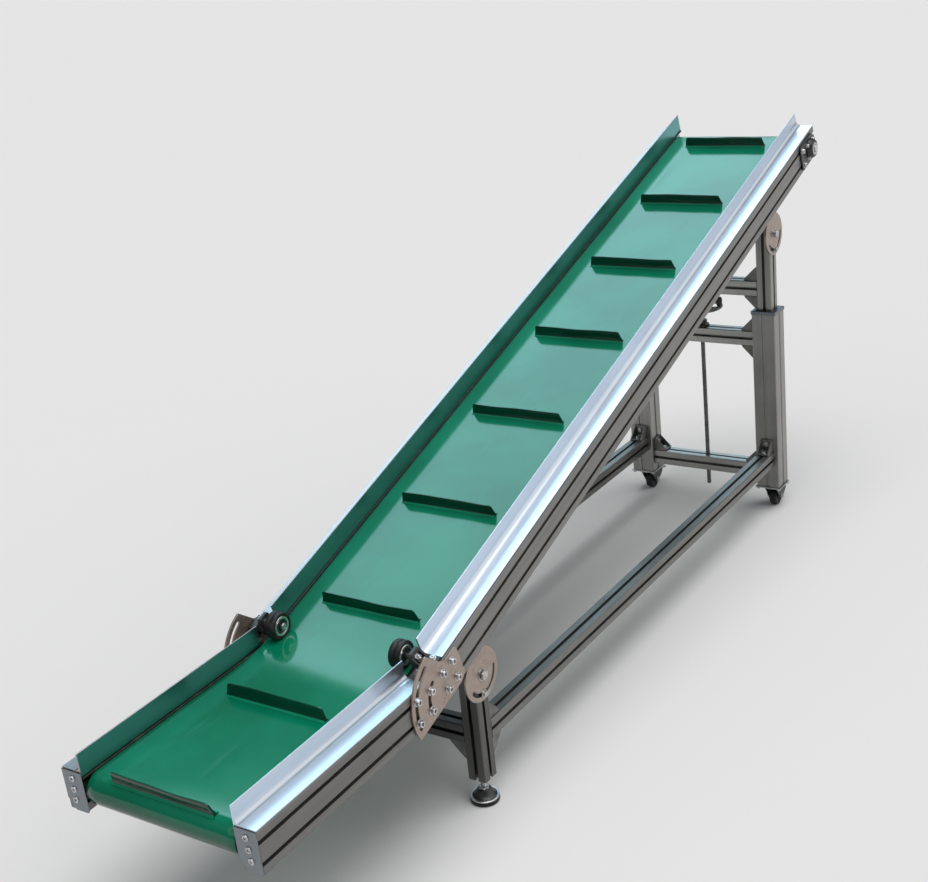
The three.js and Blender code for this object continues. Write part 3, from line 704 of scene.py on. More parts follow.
def beltPath():
    # middle of the belt's thickness, in (y, z) millimetres, once round the loop from the tail
    half = beltSize["thickness"] / 2
    level = -beltSize["drop"] - half
    headSpot = jointSpot("head_drum_spin", incline)
    tailSpot = jointSpot("tail_roller_spin", infeed)
    bendSpot = jointSpot("bend_roller_spin", incline)
    around = beltSize["drumRadius"] + half
    under = headSpot.z - around
    reach = beltSize["kneeReach"]

    def spot(run, s, n):
        place = run.at(0, s, n) / mm
        return Vector((place.y, place.z))

    def straight(run, start, end, n, step=38.0):
        count = max(2, round(abs(end - start) / step))
        return [spot(run, start + (end - start) * k / count, n) for k in range(count + 1)]

    def bend(first, guide, last, count=14):
        shares = [k / count for k in range(1, count)]
        return [first * (1 - t) ** 2 + guide * 2 * t * (1 - t) + last * t ** 2 for t in shares]

    path = straight(infeed, tailSpot.y, -reach, level)
    path += bend(spot(infeed, -reach, level), spot(incline, 0, level), spot(incline, reach, level))
    path += straight(incline, reach, headSpot.y, level)
    path += [spot(incline, u, v) for u, v in arc(headSpot.y, headSpot.z, around, 90, -90, 30)[1:-1]]
    rollerRadius = beltSize["bendRadius"] + half
    path += straight(incline, headSpot.y, bendSpot.y, under)
    turn = degrees(incline.slope - infeed.slope)
    path += [spot(incline, u, v) for u, v in arc(bendSpot.y, bendSpot.z, rollerRadius, 270, 270 - turn, 5)[1:]]
    path += bend(path[-1], spot(infeed, -reach * 0.2, under + 3), spot(infeed, -reach, under))
    path += straight(infeed, -reach, tailSpot.y, under)
    path += [spot(infeed, u, v) for u, v in arc(tailSpot.y, tailSpot.z, around, 270, 90, 30)[1:-1]]
    return path


def buildBelt():
    half = beltSize["thickness"] / 2
    wide = beltSize["halfWidth"]
    columns = beltSize["columns"]
    path = beltPath()
    kneeY = incline.knee.y / mm
    bm = bmesh.new()
    rings = []
    for k, spot in enumerate(path):
        tangent = (path[(k + 1) % len(path)] - path[k - 1]).normalized()
        outward = Vector((-tangent.y, tangent.x))
        away = min(1.0, max(0.0, (abs(spot.x - kneeY) - 120.0) / 200.0))
        topSide = [-wide + 0.8 + (2 * wide - 1.6) * j / columns for j in range(columns + 1)]
        loop = [(x, half) for x in topSide] + [(wide, half - 0.8), (wide, 0.8 - half)]
        loop += [(x, -half) for x in reversed(topSide)] + [(-wide, 0.8 - half), (-wide, half - 0.8)]
        ring = []
        for x, lift in loop:
            wave = sin(spot.x / 97.0 + x / 60.0) * sin(x / wide * 2.2 + spot.x / 260.0)
            lift += beltSize["swell"] * away * wave
            ring.append(bm.verts.new((x, spot.x + outward.x * lift, spot.y + outward.y * lift)))
        rings.append(ring)
    for low, high in zip(rings, rings[1:] + rings[:1]):
        count = len(low)
        for j in range(count):
            face = bm.faces.new((low[j], low[(j + 1) % count], high[(j + 1) % count], high[j]))
            # the running side comes after the carrying side and its edge
            face.material_index = 1 if columns + 3 <= j < 2 * columns + 3 else 0
    belt = settle("belt_loop", bm, [beltCover(1.0), beltFabric()], None, standPlace, 0, 50)
    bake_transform(belt)
    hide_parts("belt_incline", "belt_infeed")


cleatSize = {
    "halfLength": 113.0, "height": 26.0, "endSlant": 5.5, "foot": 7.5, "root": 3.4, "wall": 2.2, "tip": 1.5,
    "endHeight": 7.0, "skirt": 2.6, "pitch": 304.7, "fromHead": 91.8, "carried": 7, "infeedTop": -150.0,
    "wrapTurn": 20.0, "stations": 46,
}


def cleatSection(height):
    foot, root, wall, tip = [cleatSize[key] for key in ("foot", "root", "wall", "tip")]
    side = [(foot, -0.6), (foot, 0.5), (foot - 1.2, 1.1), (root + 0.9, 1.5), (root, 2.4), (wall, 4.6)]
    side += [(wall - 0.1, height * 0.6), (tip, height - 1.0), (tip - 0.6, height)]
    return side + [(-u, v) for u, v in reversed(side)]


def drawCleat(bm, place, seed):
    reach = cleatSize["halfLength"]
    count = cleatSize["stations"]
    rings = []
    for k in range(count + 1):
        x = -reach + 2 * reach * k / count
        slant = min(1.0, (reach - abs(x)) / cleatSize["endSlant"])
        height = cleatSize["endHeight"] + (cleatSize["height"] - cleatSize["endHeight"]) * max(0.0, slant)
        ring = []
        for u, v in cleatSection(height):
            lean = v / cleatSize["height"]
            bow = lean * (0.9 * sin(x / 41.0 + seed) + 0.5 * sin(x / 17.0 + 2.1 * seed))
            ring.append(bm.verts.new(place @ Vector((x, u + bow, v + 0.25 * lean * sin(x / 23.0 + seed)))))
        rings.append(ring)
    before = set(bm.faces)
    for low, high in zip(rings, rings[1:]):
        bridge(bm, low, high)
    # faces of the foot below the skirt height take the second, lighter finish: a painted highlight
    inverse = place.inverted()
    for face in bm.faces:
        if face not in before and (inverse @ face.calc_center_median()).z < cleatSize["skirt"]:
            face.material_index = 1
    bm.faces.new(rings[0])
    bm.faces.new(rings[-1])


def buildCleats():
    top = -beltSize["drop"]
    headSpot = jointSpot("head_drum_spin", incline)
    tailSpot = jointSpot("tail_roller_spin", infeed)
    outer = beltSize["drumRadius"] + beltSize["thickness"]
    bottom = headSpot.z - outer
    upper = bmesh.new()
    first = railHigh.y - cleatSize["fromHead"]
    # upright cleat walls darkened and the foot lightened: painted shade and a painted highlight
    cleatFinish = [beltCover(0.36), beltCover(1.4)]
    for k in range(cleatSize["carried"]):
        s = first - k * cleatSize["pitch"]
        drawCleat(upper, Matrix.Translation((0, s, top)), 1.7 * k)
        if k < cleatSize["carried"] - 1:
            below = Matrix.Translation((0, s - cleatSize["pitch"] / 2, bottom)) @ Matrix.Rotation(pi, 4, "X")
            drawCleat(upper, below, 0.9 * k + 0.3)
    settle("belt_cleats_incline", upper, cleatFinish, "incline", inclinePlace, 0, 40)
    lower = bmesh.new()
    drawCleat(lower, Matrix.Translation((0, cleatSize["infeedTop"], top)), 2.4)
    lean = Matrix.Rotation(radians(cleatSize["wrapTurn"]), 4, "X")
    wrapped = Matrix.Translation((0, tailSpot.y, tailSpot.z)) @ lean
    drawCleat(lower, wrapped @ Matrix.Translation((0, 0, outer)), 4.1)
    below = Matrix.Translation((0, (infeedLow.y - 4.6) / 2, bottom)) @ Matrix.Rotation(pi, 4, "X")
    drawCleat(lower, below, 5.2)
    settle("belt_cleats_infeed", lower, cleatFinish, "infeed", infeedPlace, 0, 40)


buildBelt()
buildCleats()
print("belt and cleats done")


# guards
guardSize = {"wall": 2.6, "footThick": 2.2, "fillet": 13.0, "overlap": 0.3, "shadowStripShort": 2.0, "topGap": 0.1}
# black strip between the belt edge and the rail below each guard: a dark piece standing in for the shadow line
# there
shadowStripEdge = {"lip": 165.9, "step": 167.4, "clear": 0.3, "low": -11.8, "high": -8.0}


def buildGuard(hand, run, node, place, body):
    side = hands[hand]
    low, high = run.reach(node)
    inner, outer = sides(low, high)
    wall = inner + guardSize["wall"]
    overlap = guardSize["overlap"]
    foot = overlap + guardSize["footThick"]
    fillet = guardSize["fillet"]
    edge = 0.6
    outline = [(inner, low.z + edge), (inner + edge, low.z), (railInner - 1.0, low.z)]
    outline += [(railInner - 0.4, low.z + edge), (railInner - 0.4, overlap), (outer - edge, overlap)]
    outline += [(outer, overlap + edge), (outer, foot - edge), (outer - edge, foot)]
    outline += arc(wall + fillet, foot + fillet, fillet, 270, 180, 26)
    lip = guardSize["wall"] / 2
    outline += arc(wall - lip, high.z - guardSize["topGap"] - lip, lip, 0, 180, 10)
    bm = bmesh.new()
    prism(bm, outline, side, low.y, high.y, 12)
    # the inner wall faces take the darker, greenish inside finish: painted shade and a painted reflection of the
    # green belt
    for face in bm.faces:
        if abs(abs(face.calc_center_median().x) - inner) < 0.1:
            face.material_index = 1
    finish = [brightAluminium("along", run.slope, hand), brightAluminium("along", run.slope, "inside")]
    settle(f"{node}_folded", bm, finish, body, place, 0, 30, (node,))
    # black rubber strip along the belt edge, standing in for the shadow line under the guard
    shadowStrip = bmesh.new()
    lip = shadowStripEdge["lip"]
    back = railInner - shadowStripEdge["clear"]
    strip = [(lip, -11.6), (back, shadowStripEdge["low"]), (back, shadowStripEdge["high"]), (shadowStripEdge["step"], -7.9)]
    strip += [(lip, -9.2)]
    prism(shadowStrip, strip, side, low.y, high.y - guardSize["shadowStripShort"], 12)
    settle(f"{node}_seal", shadowStrip, blackRubber(), body, place, 0, 30)


for hand in hands:
    buildGuard(hand, incline, f"guard_incline_{hand}", inclinePlace, "incline")
    buildGuard(hand, infeed, f"guard_infeed_{hand}", infeedPlace, "infeed")
print("guards done")


# slotted profiles, trays and cross pieces keep their solids
# the same anodised finish is scaled per part for how light falls on it: painted shade on the front legs, front
# crossbar, bottom and infeed rails, painted light on the rear legs and crossbars
paintedLightByPart = {"front_leg": 0.55, "rear_outer_leg": 1.35, "inner_leg": 1.35, "bottom_rail": 0.9}
for hand in hands:
    dress(f"rail_incline_{hand}", anodisedProfile("along", incline.slope))
    dress(f"rail_infeed_{hand}", anodisedProfile("along", infeed.slope, 0.85))
    dress(f"bottom_rail_{hand}", anodisedProfile("along", 0.0, paintedLightByPart["bottom_rail"]))
    for upright in ("front_leg", "rear_outer_leg", "inner_leg"):
        dress(f"{upright}_{hand}", anodisedProfile("upright", 0.0, paintedLightByPart[upright]))
for bar in ("tie_lower", "tie_upper", "tie_infeed"):
    dress(bar, anodisedProfile("across", 0.0))
dress("front_crossbar", anodisedProfile("across", 0.0, paintedLightByPart["front_leg"]))
for bar in ("lower_crossbar", "upper_crossbar", "inner_crossbar"):
    dress(bar, anodisedProfile("across", 0.0, 1.7))
for tray in ("bed_incline", "bed_infeed"):
    dress(tray, trayPaint())
for roller in ("head_drum", "bend_roller", "tail_roller"):
    dress(roller, turnedSteel(1.0))
print("profiles, trays and rollers dressed")


# knee plates, hinges and end plates
# fixed screws by their place on the incline, sliding ones by radius and angle about the knee's axis
kneeBolts = {
    "fixed": [(50, -20), (82, -20), (50, -60), (82, -60)],
    "sliding": [(87, 164), (87, 192.6), (47, 151.6), (47, 200)],
}
hingeSize = {
    "lowerBolt": 41.0, "footScrews": 16.0, "footInset": 13.0, "undersides": {"front": -86.0, "rear": -86.6},
}
endScrews = [-15, -37, -58]
endPlateInset = 2.2


def buildKnee(hand):
    side = hands[hand]
    node = f"knee_plate_{hand}"
    refined(node, zincPlate(), "incline", 0.7)
    face = side * sides(*boxMm(node))[1]
    out = (side, 0, 0)
    fixed = bmesh.new()
    for s, n in kneeBolts["fixed"]:
        capScrew(fixed, (face, s, n), out, 6.8, 6.0, 8.6)
    settle(f"knee_screws_{hand}", fixed, turnedSteel(1.0), "incline", inclinePlace)
    sliding = bmesh.new()
    axis = jointSpot("knee_tilt", infeed)
    for radius, angle in kneeBolts["sliding"]:
        turn = radians(angle)
        spot = (face, axis.y + radius * cos(turn), axis.z + radius * sin(turn))
        capScrew(sliding, spot, out, 6.8, 6.0, 8.6)
    settle(f"knee_slot_screws_{hand}", sliding, turnedSteel(1.0), "infeed", infeedPlace)


def buildHinge(hand, name, body, legBody, joint):
    side = hands[hand]
    node = f"{name}_hinge_{hand}"
    refined(node, zincPlate(), body, 0.7)
    face = side * sides(*boxMm(node))[1]
    pivot = jointSpot(joint)
    out = (side, 0, 0)
    bolts = bmesh.new()
    hexBolt(bolts, (face, pivot.y, pivot.z), out, 17.0, 6.5, 12.5)
    hexBolt(bolts, (face, pivot.y, pivot.z - hingeSize["lowerBolt"]), out, 12.0, 5.0, 8.5)
    settle(f"{name}_hinge_bolts_{hand}", bolts, turnedSteel(0.85), legBody, standPlace)
    low, high = incline.reach(node)
    feet = bmesh.new()
    middle = (low.y + high.y) / 2
    for way in (-1, 1):
        along = middle + way * hingeSize["footScrews"]
        spot = (side * (railInner + hingeSize["footInset"]), along, hingeSize["undersides"][name])
        capScrew(feet, spot, (0, 0, -1), 5.5, 4.0)
    settle(f"{name}_hinge_screws_{hand}", feet, turnedSteel(0.9), body, inclinePlace)


def buildEndPlate(hand):
    side = hands[hand]
    node = f"end_plate_{hand}"
    low, high = infeed.reach(node)
    # the end plate's aluminium is darkened with the end tint: painted shade
    plate = refined(node, brightAluminium("none", 0.0, "end"), "infeed", 0.8)
    # the plate gives way to its screw heads, which end where the solid ends
    local = infeedPlace.inverted()
    inset = infeedPlace.to_3x3() @ Vector((0, endPlateInset, 0))
    for vertex in plate.data.vertices:
        if (local @ vertex.co).y < low.y + 1.0:
            vertex.co += inset
    middle = (low.x + high.x) / 2
    screws = bmesh.new()
    for k, n in enumerate(endScrews):
        spot = (middle + side * 1.5 * k, low.y + endPlateInset, n)
        capScrew(screws, spot, (0, -1, 0), 6.0, endPlateInset - 0.05)
    settle(f"end_plate_screws_{hand}", screws, turnedSteel(0.9), "infeed", infeedPlace)


for hand in hands:
    buildKnee(hand)
    buildHinge(hand, "front", "incline", "stand", "bed_tilt")
    buildHinge(hand, "rear", "rear_hinges", "lift", "rear_hinge_turn")
    buildEndPlate(hand)
print("knee, hinges and end plates done")


# head bearings
bearingSize = {"plate": 4.0, "flange": 30.0, "boss": 24.0, "cap": 17.0, "shaft": 9.8, "bolts": 4}


def buildBearing(hand):
    side = hands[hand]
    node = f"head_bearing_{hand}"
    low, high = incline.reach(node)
    inner, face = sides(low, high)
    spot = jointSpot("head_drum_spin", incline)
    place = facing((0, spot.y, spot.z), (side, 0, 0))
    plate = bmesh.new()
    back, front, top, bottom = low.y, high.y, high.z, low.z
    outline = [(back + 6, top), (front - 14, top), (front, top - 14), (front, bottom + 12), (front - 12, bottom)]
    outline += [(back + 6, bottom), (back, bottom + 6), (back, top - 6)]
    extruded(plate, outline, inner, inner + bearingSize["plate"], sideways(side))
    settle(f"head_plate_{hand}", plate, darkMetal(), "incline", inclinePlace, 1.0)
    housing = bmesh.new()
    flange, boss, cap, shaft = [bearingSize[key] for key in ("flange", "boss", "cap", "shaft")]
    turned(housing, [
        (shaft + 0.6, inner + 3.6), (flange - 3, inner + 3.6), (flange - 3, inner + 8),
        (flange - 4.5, inner + 10), (boss + 1, inner + 11), (boss - 1, inner + 14), (boss - 2, face - 2.5),
        (boss - 3, face - 1.4),
        (cap + 1.5, face - 1.4), (cap + 1, face - 3), (shaft + 0.6, face - 3),
    ], place, 64, True)
    settle(f"head_housing_{hand}", housing, darkMetal(), "incline", inclinePlace, 0.0, 40, (node,))
    ring = bmesh.new()
    turned(ring, [
        (shaft + 0.8, face - 3.2), (cap, face - 3.2), (cap, face - 0.8), (cap - 1.2, face), (shaft + 3.2, face),
        (shaft + 2.4, face - 0.8), (shaft + 0.8, face - 0.8),
    ], place, 64, True)
    for k in range(bearingSize["bolts"]):
        angle = radians(45 + 90 * k)
        at = (side * (inner + 3.6), spot.y + 27.5 * cos(angle), spot.z + 24 * sin(angle))
        capScrew(ring, at, (side, 0, 0), 5.2, 5.5, 6.6)
    for n in (-20, -60):
        capScrew(ring, (side * (inner + 4), back + 11, n), (side, 0, 0), 6.4, 5.5, 8.0)
    settle(f"head_ring_and_screws_{hand}", ring, turnedSteel(1.0), "incline", inclinePlace)


for hand in hands:
    buildBearing(hand)
print("head bearings done")


# press wheels at the knee
pressSize = {"tyreDepth": 7.4, "ringRadius": 14.6, "shoulder": 4.0, "groove": 0.6, "bracketHalf": 14.0}


def buildPressWheel(hand):
    side = hands[hand]
    node = f"press_wheel_{hand}"
    low, high = incline.reach(node)
    spot = jointSpot(f"press_wheel_{hand}_spin", incline)
    radius = (high.z - low.z) / 2
    near, far = sides(low, high)
    place = facing((0, spot.y, spot.z), (side, 0, 0))
    inside = radius - pressSize["tyreDepth"]
    tyre = bmesh.new()
    middle = (near + far) / 2
    groove = pressSize["groove"]
    crown = [(radius, middle - groove), (radius - 0.5, middle), (radius, middle + groove)]
    turned(tyre, tyreOutline(inside, radius, pressSize["shoulder"], near, far, crown, 1.2), place, 72, True)
    settle(f"press_tyre_{hand}", tyre, blackRubber(), f"press_wheel_{hand}", inclinePlace, 0, 40, (node,))
    rim = bmesh.new()
    ring = pressSize["ringRadius"]
    turned(rim, [
        (ring, near + 0.9), (ring + 0.8, near + 0.3), (inside - 0.8, near + 0.3), (inside - 0.1, near + 1.0),
        (inside - 0.1, far - 1.0), (inside - 0.8, far - 0.3), (ring + 0.8, far - 0.3), (ring, far - 0.9),
    ], place, 72, True)
    settle(f"press_rim_{hand}", rim, turnedSteel(1.3), f"press_wheel_{hand}", inclinePlace, 0, 40)
    core = bmesh.new()
    turned(core, [
        (5.7, near + 4.2), (9.0, near + 4.2), (9.8, near + 2.6), (11.2, near + 2.2), (12.2, near + 3.0),
        (ring + 0.1, near + 3.0), (ring + 0.1, far - 3.0), (12.2, far - 3.0), (11.2, far - 2.2), (9.8, far - 2.6),
        (9.0, far - 4.2), (5.7, far - 4.2),
    ], place, 48, True)
    settle(f"press_hub_{hand}", core, blackPlastic(), f"press_wheel_{hand}", inclinePlace, 0, 40)


def buildPressBracket(hand):
    side = hands[hand]
    node = f"press_bracket_{hand}"
    low, high = incline.reach(node)
    spot = jointSpot(f"press_wheel_{hand}_spin", incline)
    inner = railInner - 3.0
    axes = sideways(side)
    body = bmesh.new()
    half = pressSize["bracketHalf"]
    back = spot.y - half
    front = spot.y + half
    upright = [(back, 2.6), (front, 2.6), (front, high.z - 4), (front - 4, high.z), (back + 4, high.z)]
    extruded(body, upright + [(back, high.z - 4)], inner, inner + 7, axes)
    foot = [(back, 0.4), (front + 8, 0.4), (front + 8, 5.0), (back, 5.0)]
    extruded(body, foot, inner, halfOver - 1.5, axes)
    gusset = [(inner + 6.6, 4.6), (inner + 6.6, high.z - 8), (inner + 26, 4.6)]
    across = Matrix(((side, 0, 0, 0), (0, 0, 1, 0), (0, 1, 0, 0), (0, 0, 0, 1)))
    extruded(body, gusset, back + 0.4, back + 3.4, across)
    extruded(body, gusset, front - 3.4, front - 0.4, across)
    settle(f"press_bracket_{hand}_folded", body, darkMetal(), "incline", inclinePlace, 0.6, 35, (node,))
    pin = bmesh.new()
    near = sides(low, high)[0]
    place = facing((0, spot.y, spot.z), (side, 0, 0))
    turned(pin, [
        (0, near), (6.4, near), (7.6, near + 1), (7.6, near + 3.6), (5.0, near + 3.6), (5.0, inner - 4.2),
        (9.0, inner - 4.2), (9.0, inner + 0.4), (0, inner + 0.4),
    ], place, 40)
    capScrew(pin, (side * near, spot.y, spot.z), (-side, 0, 0), 6.0, 0.6)
    hexBolt(pin, (side * (inner + 7), spot.y, spot.z), (side, 0, 0), 13.0, 5.5, 9.0, 3.0)
    capScrew(pin, (side * (halfOver - 14), front, 5.0), (0, 0, 1), 5.2, 3.6, 7.0)
    settle(f"press_axle_{hand}", pin, turnedSteel(1.05), "incline", inclinePlace)


for hand in hands:
    buildPressWheel(hand)
    buildPressBracket(hand)
print("press wheels done")


# corner brackets of the stand and of the lifting frame
legHalf = {"slim": 20.0, "rear": 32.0}


def buildBrackets():
    innerFace = legX - legHalf["slim"]
    outerFace = legX - legHalf["rear"]
    frontFace = frontLegY + legHalf["slim"]
    rearFace = rearLegY - legHalf["rear"]
    upper, lower, inner, front = [boxMm(f"{place}_crossbar") for place in ("upper", "lower", "inner", "front")]
    rail = boxMm("bottom_rail_right")
    up = (0, 0, 1)
    down = (0, 0, -1)
    fixed = bmesh.new()
    fixedScrews = bmesh.new()
    for side in (-1, 1):
        inward = (-side, 0, 0)
        for height, way in ((upper[1].z, up), (upper[0].z, down), (lower[1].z, up)):
            cornerBracket(fixed, fixedScrews, (side * outerFace, rearLegY, height), inward, way)
        cornerBracket(fixed, fixedScrews, (side * legX, rearFace, rail[1].z), (0, -1, 0), up)
        cornerBracket(fixed, fixedScrews, (side * innerFace, frontLegY, front[0].z), inward, down)
        cornerBracket(fixed, fixedScrews, (side * legX, frontFace, rail[0].z), (0, 1, 0), down)
        cornerBracket(fixed, fixedScrews, (side * legX, frontFace, rail[1].z), (0, 1, 0), up)
    settle("stand_brackets", fixed, castBracket(), "stand", standPlace, 0.5)
    settle("stand_bracket_screws", fixedScrews, turnedSteel(0.8), "stand", standPlace)
    moving = bmesh.new()
    movingScrews = bmesh.new()
    for side in (-1, 1):
        for height, way in ((inner[1].z, up), (inner[0].z, down)):
            cornerBracket(moving, movingScrews, (side * innerFace, rearLegY, height), (-side, 0, 0), way)
    settle("lift_brackets", moving, castBracket(), "lift", standPlace, 0.5)
    settle("lift_bracket_screws", movingScrews, turnedSteel(0.8), "lift", standPlace)


buildBrackets()
for hand in hands:
    # the leg caps' aluminium is darkened with the cap tint: painted shade
    refined(f"leg_cap_{hand}", brightAluminium("none", 0.0, "cap"), "stand", 0.8)
print("stand brackets done")


# lead screw, nut and handwheel
screwSize = {"radius": 6.0, "pitch": 5.0, "depth": 0.75, "rows": 5, "columns": 20}
wheelSize = {"rim": 52.0, "section": 5.6, "hub": 15.5, "spokes": 3}


def buildLeadScrew():
    low, high = boxMm("lead_screw")
    crossbar = boxMm("inner_crossbar")
    radius = screwSize["radius"]
    pitch = screwSize["pitch"]
    start = low.z
    end = crossbar[0].z - 8.6
    count = int((end - start) / pitch * screwSize["rows"])
    bm = bmesh.new()
    place = Matrix.Translation((0, rearLegY, 0))

    def threaded(z, angle):
        # flat-topped thread that runs out at both ends
        ease = min(1.0, (z - start) / 3.0, (end - z) / 6.0)
        phase = (z / pitch - angle / tau) % 1.0
        groove = max(0.0, min(1.0, (0.5 - abs(phase - 0.5)) * 4.0 - 0.5))
        return radius - screwSize["depth"] * groove * ease - 0.5 * (1 - ease)

    heights = [start + (end - start) * k / count for k in range(count + 1)]
    threadedRod(bm, heights, threaded, place, screwSize["columns"])
    settle("lead_screw_thread", bm, turnedSteel(0.28), "screw", standPlace, 0, 60)
    collars = bmesh.new()
    under = crossbar[0].z - 0.5
    over = crossbar[1].z + 0.5
    for base, top in ((under - 8, under), (over, high.z - 2)):
        outline = [(0, base), (10.8, base), (12, base + 1.2), (12, top - 1.2), (10.8, top), (0, top)]
        turned(collars, outline, place, 48)
    capScrew(collars, (12, rearLegY, under - 4), (1, 0, 0), 2.4, 0.8)
    turned(collars, [(0, under - 1), (5.9, under - 1), (5.9, over + 1), (0, over + 1)], place, 32)
    tip = high.z
    turned(collars, [(0, tip - 3), (5.0, tip - 3), (5.0, tip - 0.8), (4.2, tip), (0, tip)], place, 32)
    settle("lead_screw_collars", collars, darkMetal(), "screw", standPlace, 0, 40, ("lead_screw",))
    nut = bmesh.new()
    foot, top = [corner.z for corner in boxMm("screw_nut")]
    turned(nut, [
        (6.6, foot), (19, foot), (20, foot + 1), (20, foot + 4), (19, foot + 5), (15, foot + 5.4), (14, foot + 7),
        (14, top - 1.2), (12.8, top), (6.6, top),
    ], place, 56, True)
    for k in range(4):
        angle = radians(45 + 90 * k)
        capScrew(nut, (17 * cos(angle), rearLegY + 17 * sin(angle), foot + 5), (0, 0, 1), 2.4, 1.8)
    settle("screw_nut_turned", nut, darkMetal(), "stand", standPlace, 0, 40, ("screw_nut",))


def buildHandwheel():
    level = jointSpot("screw_turn").z
    rim = wheelSize["rim"]
    section = wheelSize["section"]
    place = Matrix.Translation((0, rearLegY, level))
    bm = bmesh.new()
    circle = [tau * k / 18 for k in range(18)]
    grip = [(rim + section * cos(a), section * 0.9 * sin(a)) for a in circle]
    turned(bm, grip, place, 84, True)
    hub = wheelSize["hub"]
    turned(bm, [
        (6.4, -10), (hub - 1, -10), (hub, -9), (hub, 5), (hub - 1.5, 8), (9.5, 8), (8.5, 7), (6.4, 7),
    ], place, 56, True)
    for k in range(wheelSize["spokes"]):
        turn = place @ Matrix.Rotation(tau * k / wheelSize["spokes"], 4, "Z")
        rings = []
        for j in range(9):
            x = hub - 2 + (rim - hub - 1) * j / 8
            waist = sin(j / 8 * pi)
            wide = 6.4 - 2.4 * waist
            tall = 3.4 - 0.9 * waist
            lift = -1.5 * waist
            rings.append([bm.verts.new(turn @ Vector((x, wide * cos(a), lift + tall * sin(a))))
                          for a in [tau * m / 14 for m in range(14)]])
        for first, second in zip(rings, rings[1:]):
            bridge(bm, first, second)
        bm.faces.new(rings[0])
        bm.faces.new(rings[-1])
    settle("handwheel_rim", bm, castBracket(), "screw", standPlace, 0, 40, ("handwheel",), "black_plastic")
    knob = bmesh.new()
    top = boxMm("handwheel")[1].z - level
    turned(knob, [
        (0, 3), (5.2, 3), (5.6, 6), (7.6, 10), (8.6, 16), (8.6, top - 8), (7.6, top - 3), (5.0, top - 0.6),
        (0, top),
    ], Matrix.Translation((rim, rearLegY, level)), 36)
    settle("handwheel_knob", knob, blackPlastic(), "screw", standPlace, 0, 50)


buildLeadScrew()
buildHandwheel()
print("lead screw and handwheel done")


# casters and levelling feet
casterSize = {"tyre": 7.0, "width": 20.0, "shoulder": 4.0, "swivel": 23.0, "axleHalf": 17.2, "screwInset": 6.5}


def buildCaster(hand):
    x = hands[hand] * legX
    wheel, fork, plate = [boxMm(f"caster_{part}_{hand}") for part in ("wheel", "fork", "plate")]
    axle = jointSpot(f"caster_wheel_{hand}_spin")
    radius = (wheel[1].z - wheel[0].z) / 2
    place = facing((x, axle.y, axle.z), (1, 0, 0))
    tyre = bmesh.new()
    inside = radius - casterSize["tyre"]
    half = casterSize["width"] / 2
    turned(tyre, tyreOutline(inside, radius, casterSize["shoulder"], -half, half), place, 72, True)
    spinning = f"caster_wheel_{hand}"
    settle(f"caster_tyre_{hand}", tyre, blackRubber(), spinning, standPlace, 0, 40, (spinning,))
    core = bmesh.new()
    turned(core, [
        (4.6, -11.6), (8.5, -11.6), (9.5, -10.4), (10.5, -6.5), (inside - 3, -6.5), (inside - 1.6, -9.6),
        (inside + 0.2, -9.6), (inside + 0.2, 9.6), (inside - 1.6, 9.6), (inside - 3, 6.5), (10.5, 6.5),
        (9.5, 10.4), (8.5, 11.6), (4.6, 11.6),
    ], place, 60, True)
    settle(f"caster_hub_{hand}", core, blackPlastic(), spinning, standPlace, 0, 35)
    refined(f"caster_fork_{hand}", darkMetal(), f"caster_{hand}", 0.5)
    hardware = bmesh.new()
    for way in (-1, 1):
        hexBolt(hardware, (x + way * casterSize["axleHalf"], axle.y, axle.z), (way, 0, 0), 10.0, 3.2, 7.0)
    settle(f"caster_axle_nuts_{hand}", hardware, turnedSteel(0.9), f"caster_{hand}", standPlace)
    ring = bmesh.new()
    swivel = casterSize["swivel"]
    top = fork[1].z
    turned(ring, [
        (19, top - 7.4), (swivel - 1.5, top - 7.4), (swivel, top - 6), (swivel, top - 1.6),
        (swivel - 1, top - 0.5), (19, top - 0.5),
    ], Matrix.Translation((x, rearLegY, 0)), 64, True)
    settle(f"caster_swivel_{hand}", ring, turnedSteel(0.5), f"caster_{hand}", standPlace, 0, 40)
    refined(f"caster_plate_{hand}", turnedSteel(0.7), "stand", 0.6, "bed_steel")
    screws = bmesh.new()
    inset = casterSize["screwInset"]
    for sx in (plate[0].x + inset, plate[1].x - inset):
        for sy in (plate[0].y + inset, plate[1].y - inset):
            capScrew(screws, (sx, sy, plate[0].z), (0, 0, -1), 4.4, 3.2, 5.6)
    settle(f"caster_plate_screws_{hand}", screws, turnedSteel(0.8), "stand", standPlace)
    refined(f"brake_pedal_{hand}", turnedSteel(0.55), f"brake_pedal_{hand}", 0.9, "dark_metal")


footSize = {
    "disc": 29.0, "ring": 27.5, "pitch": 1.75, "thread": (31.0, 70.0), "nut": 19.0, "lockNut": (44.4, 53.0),
}


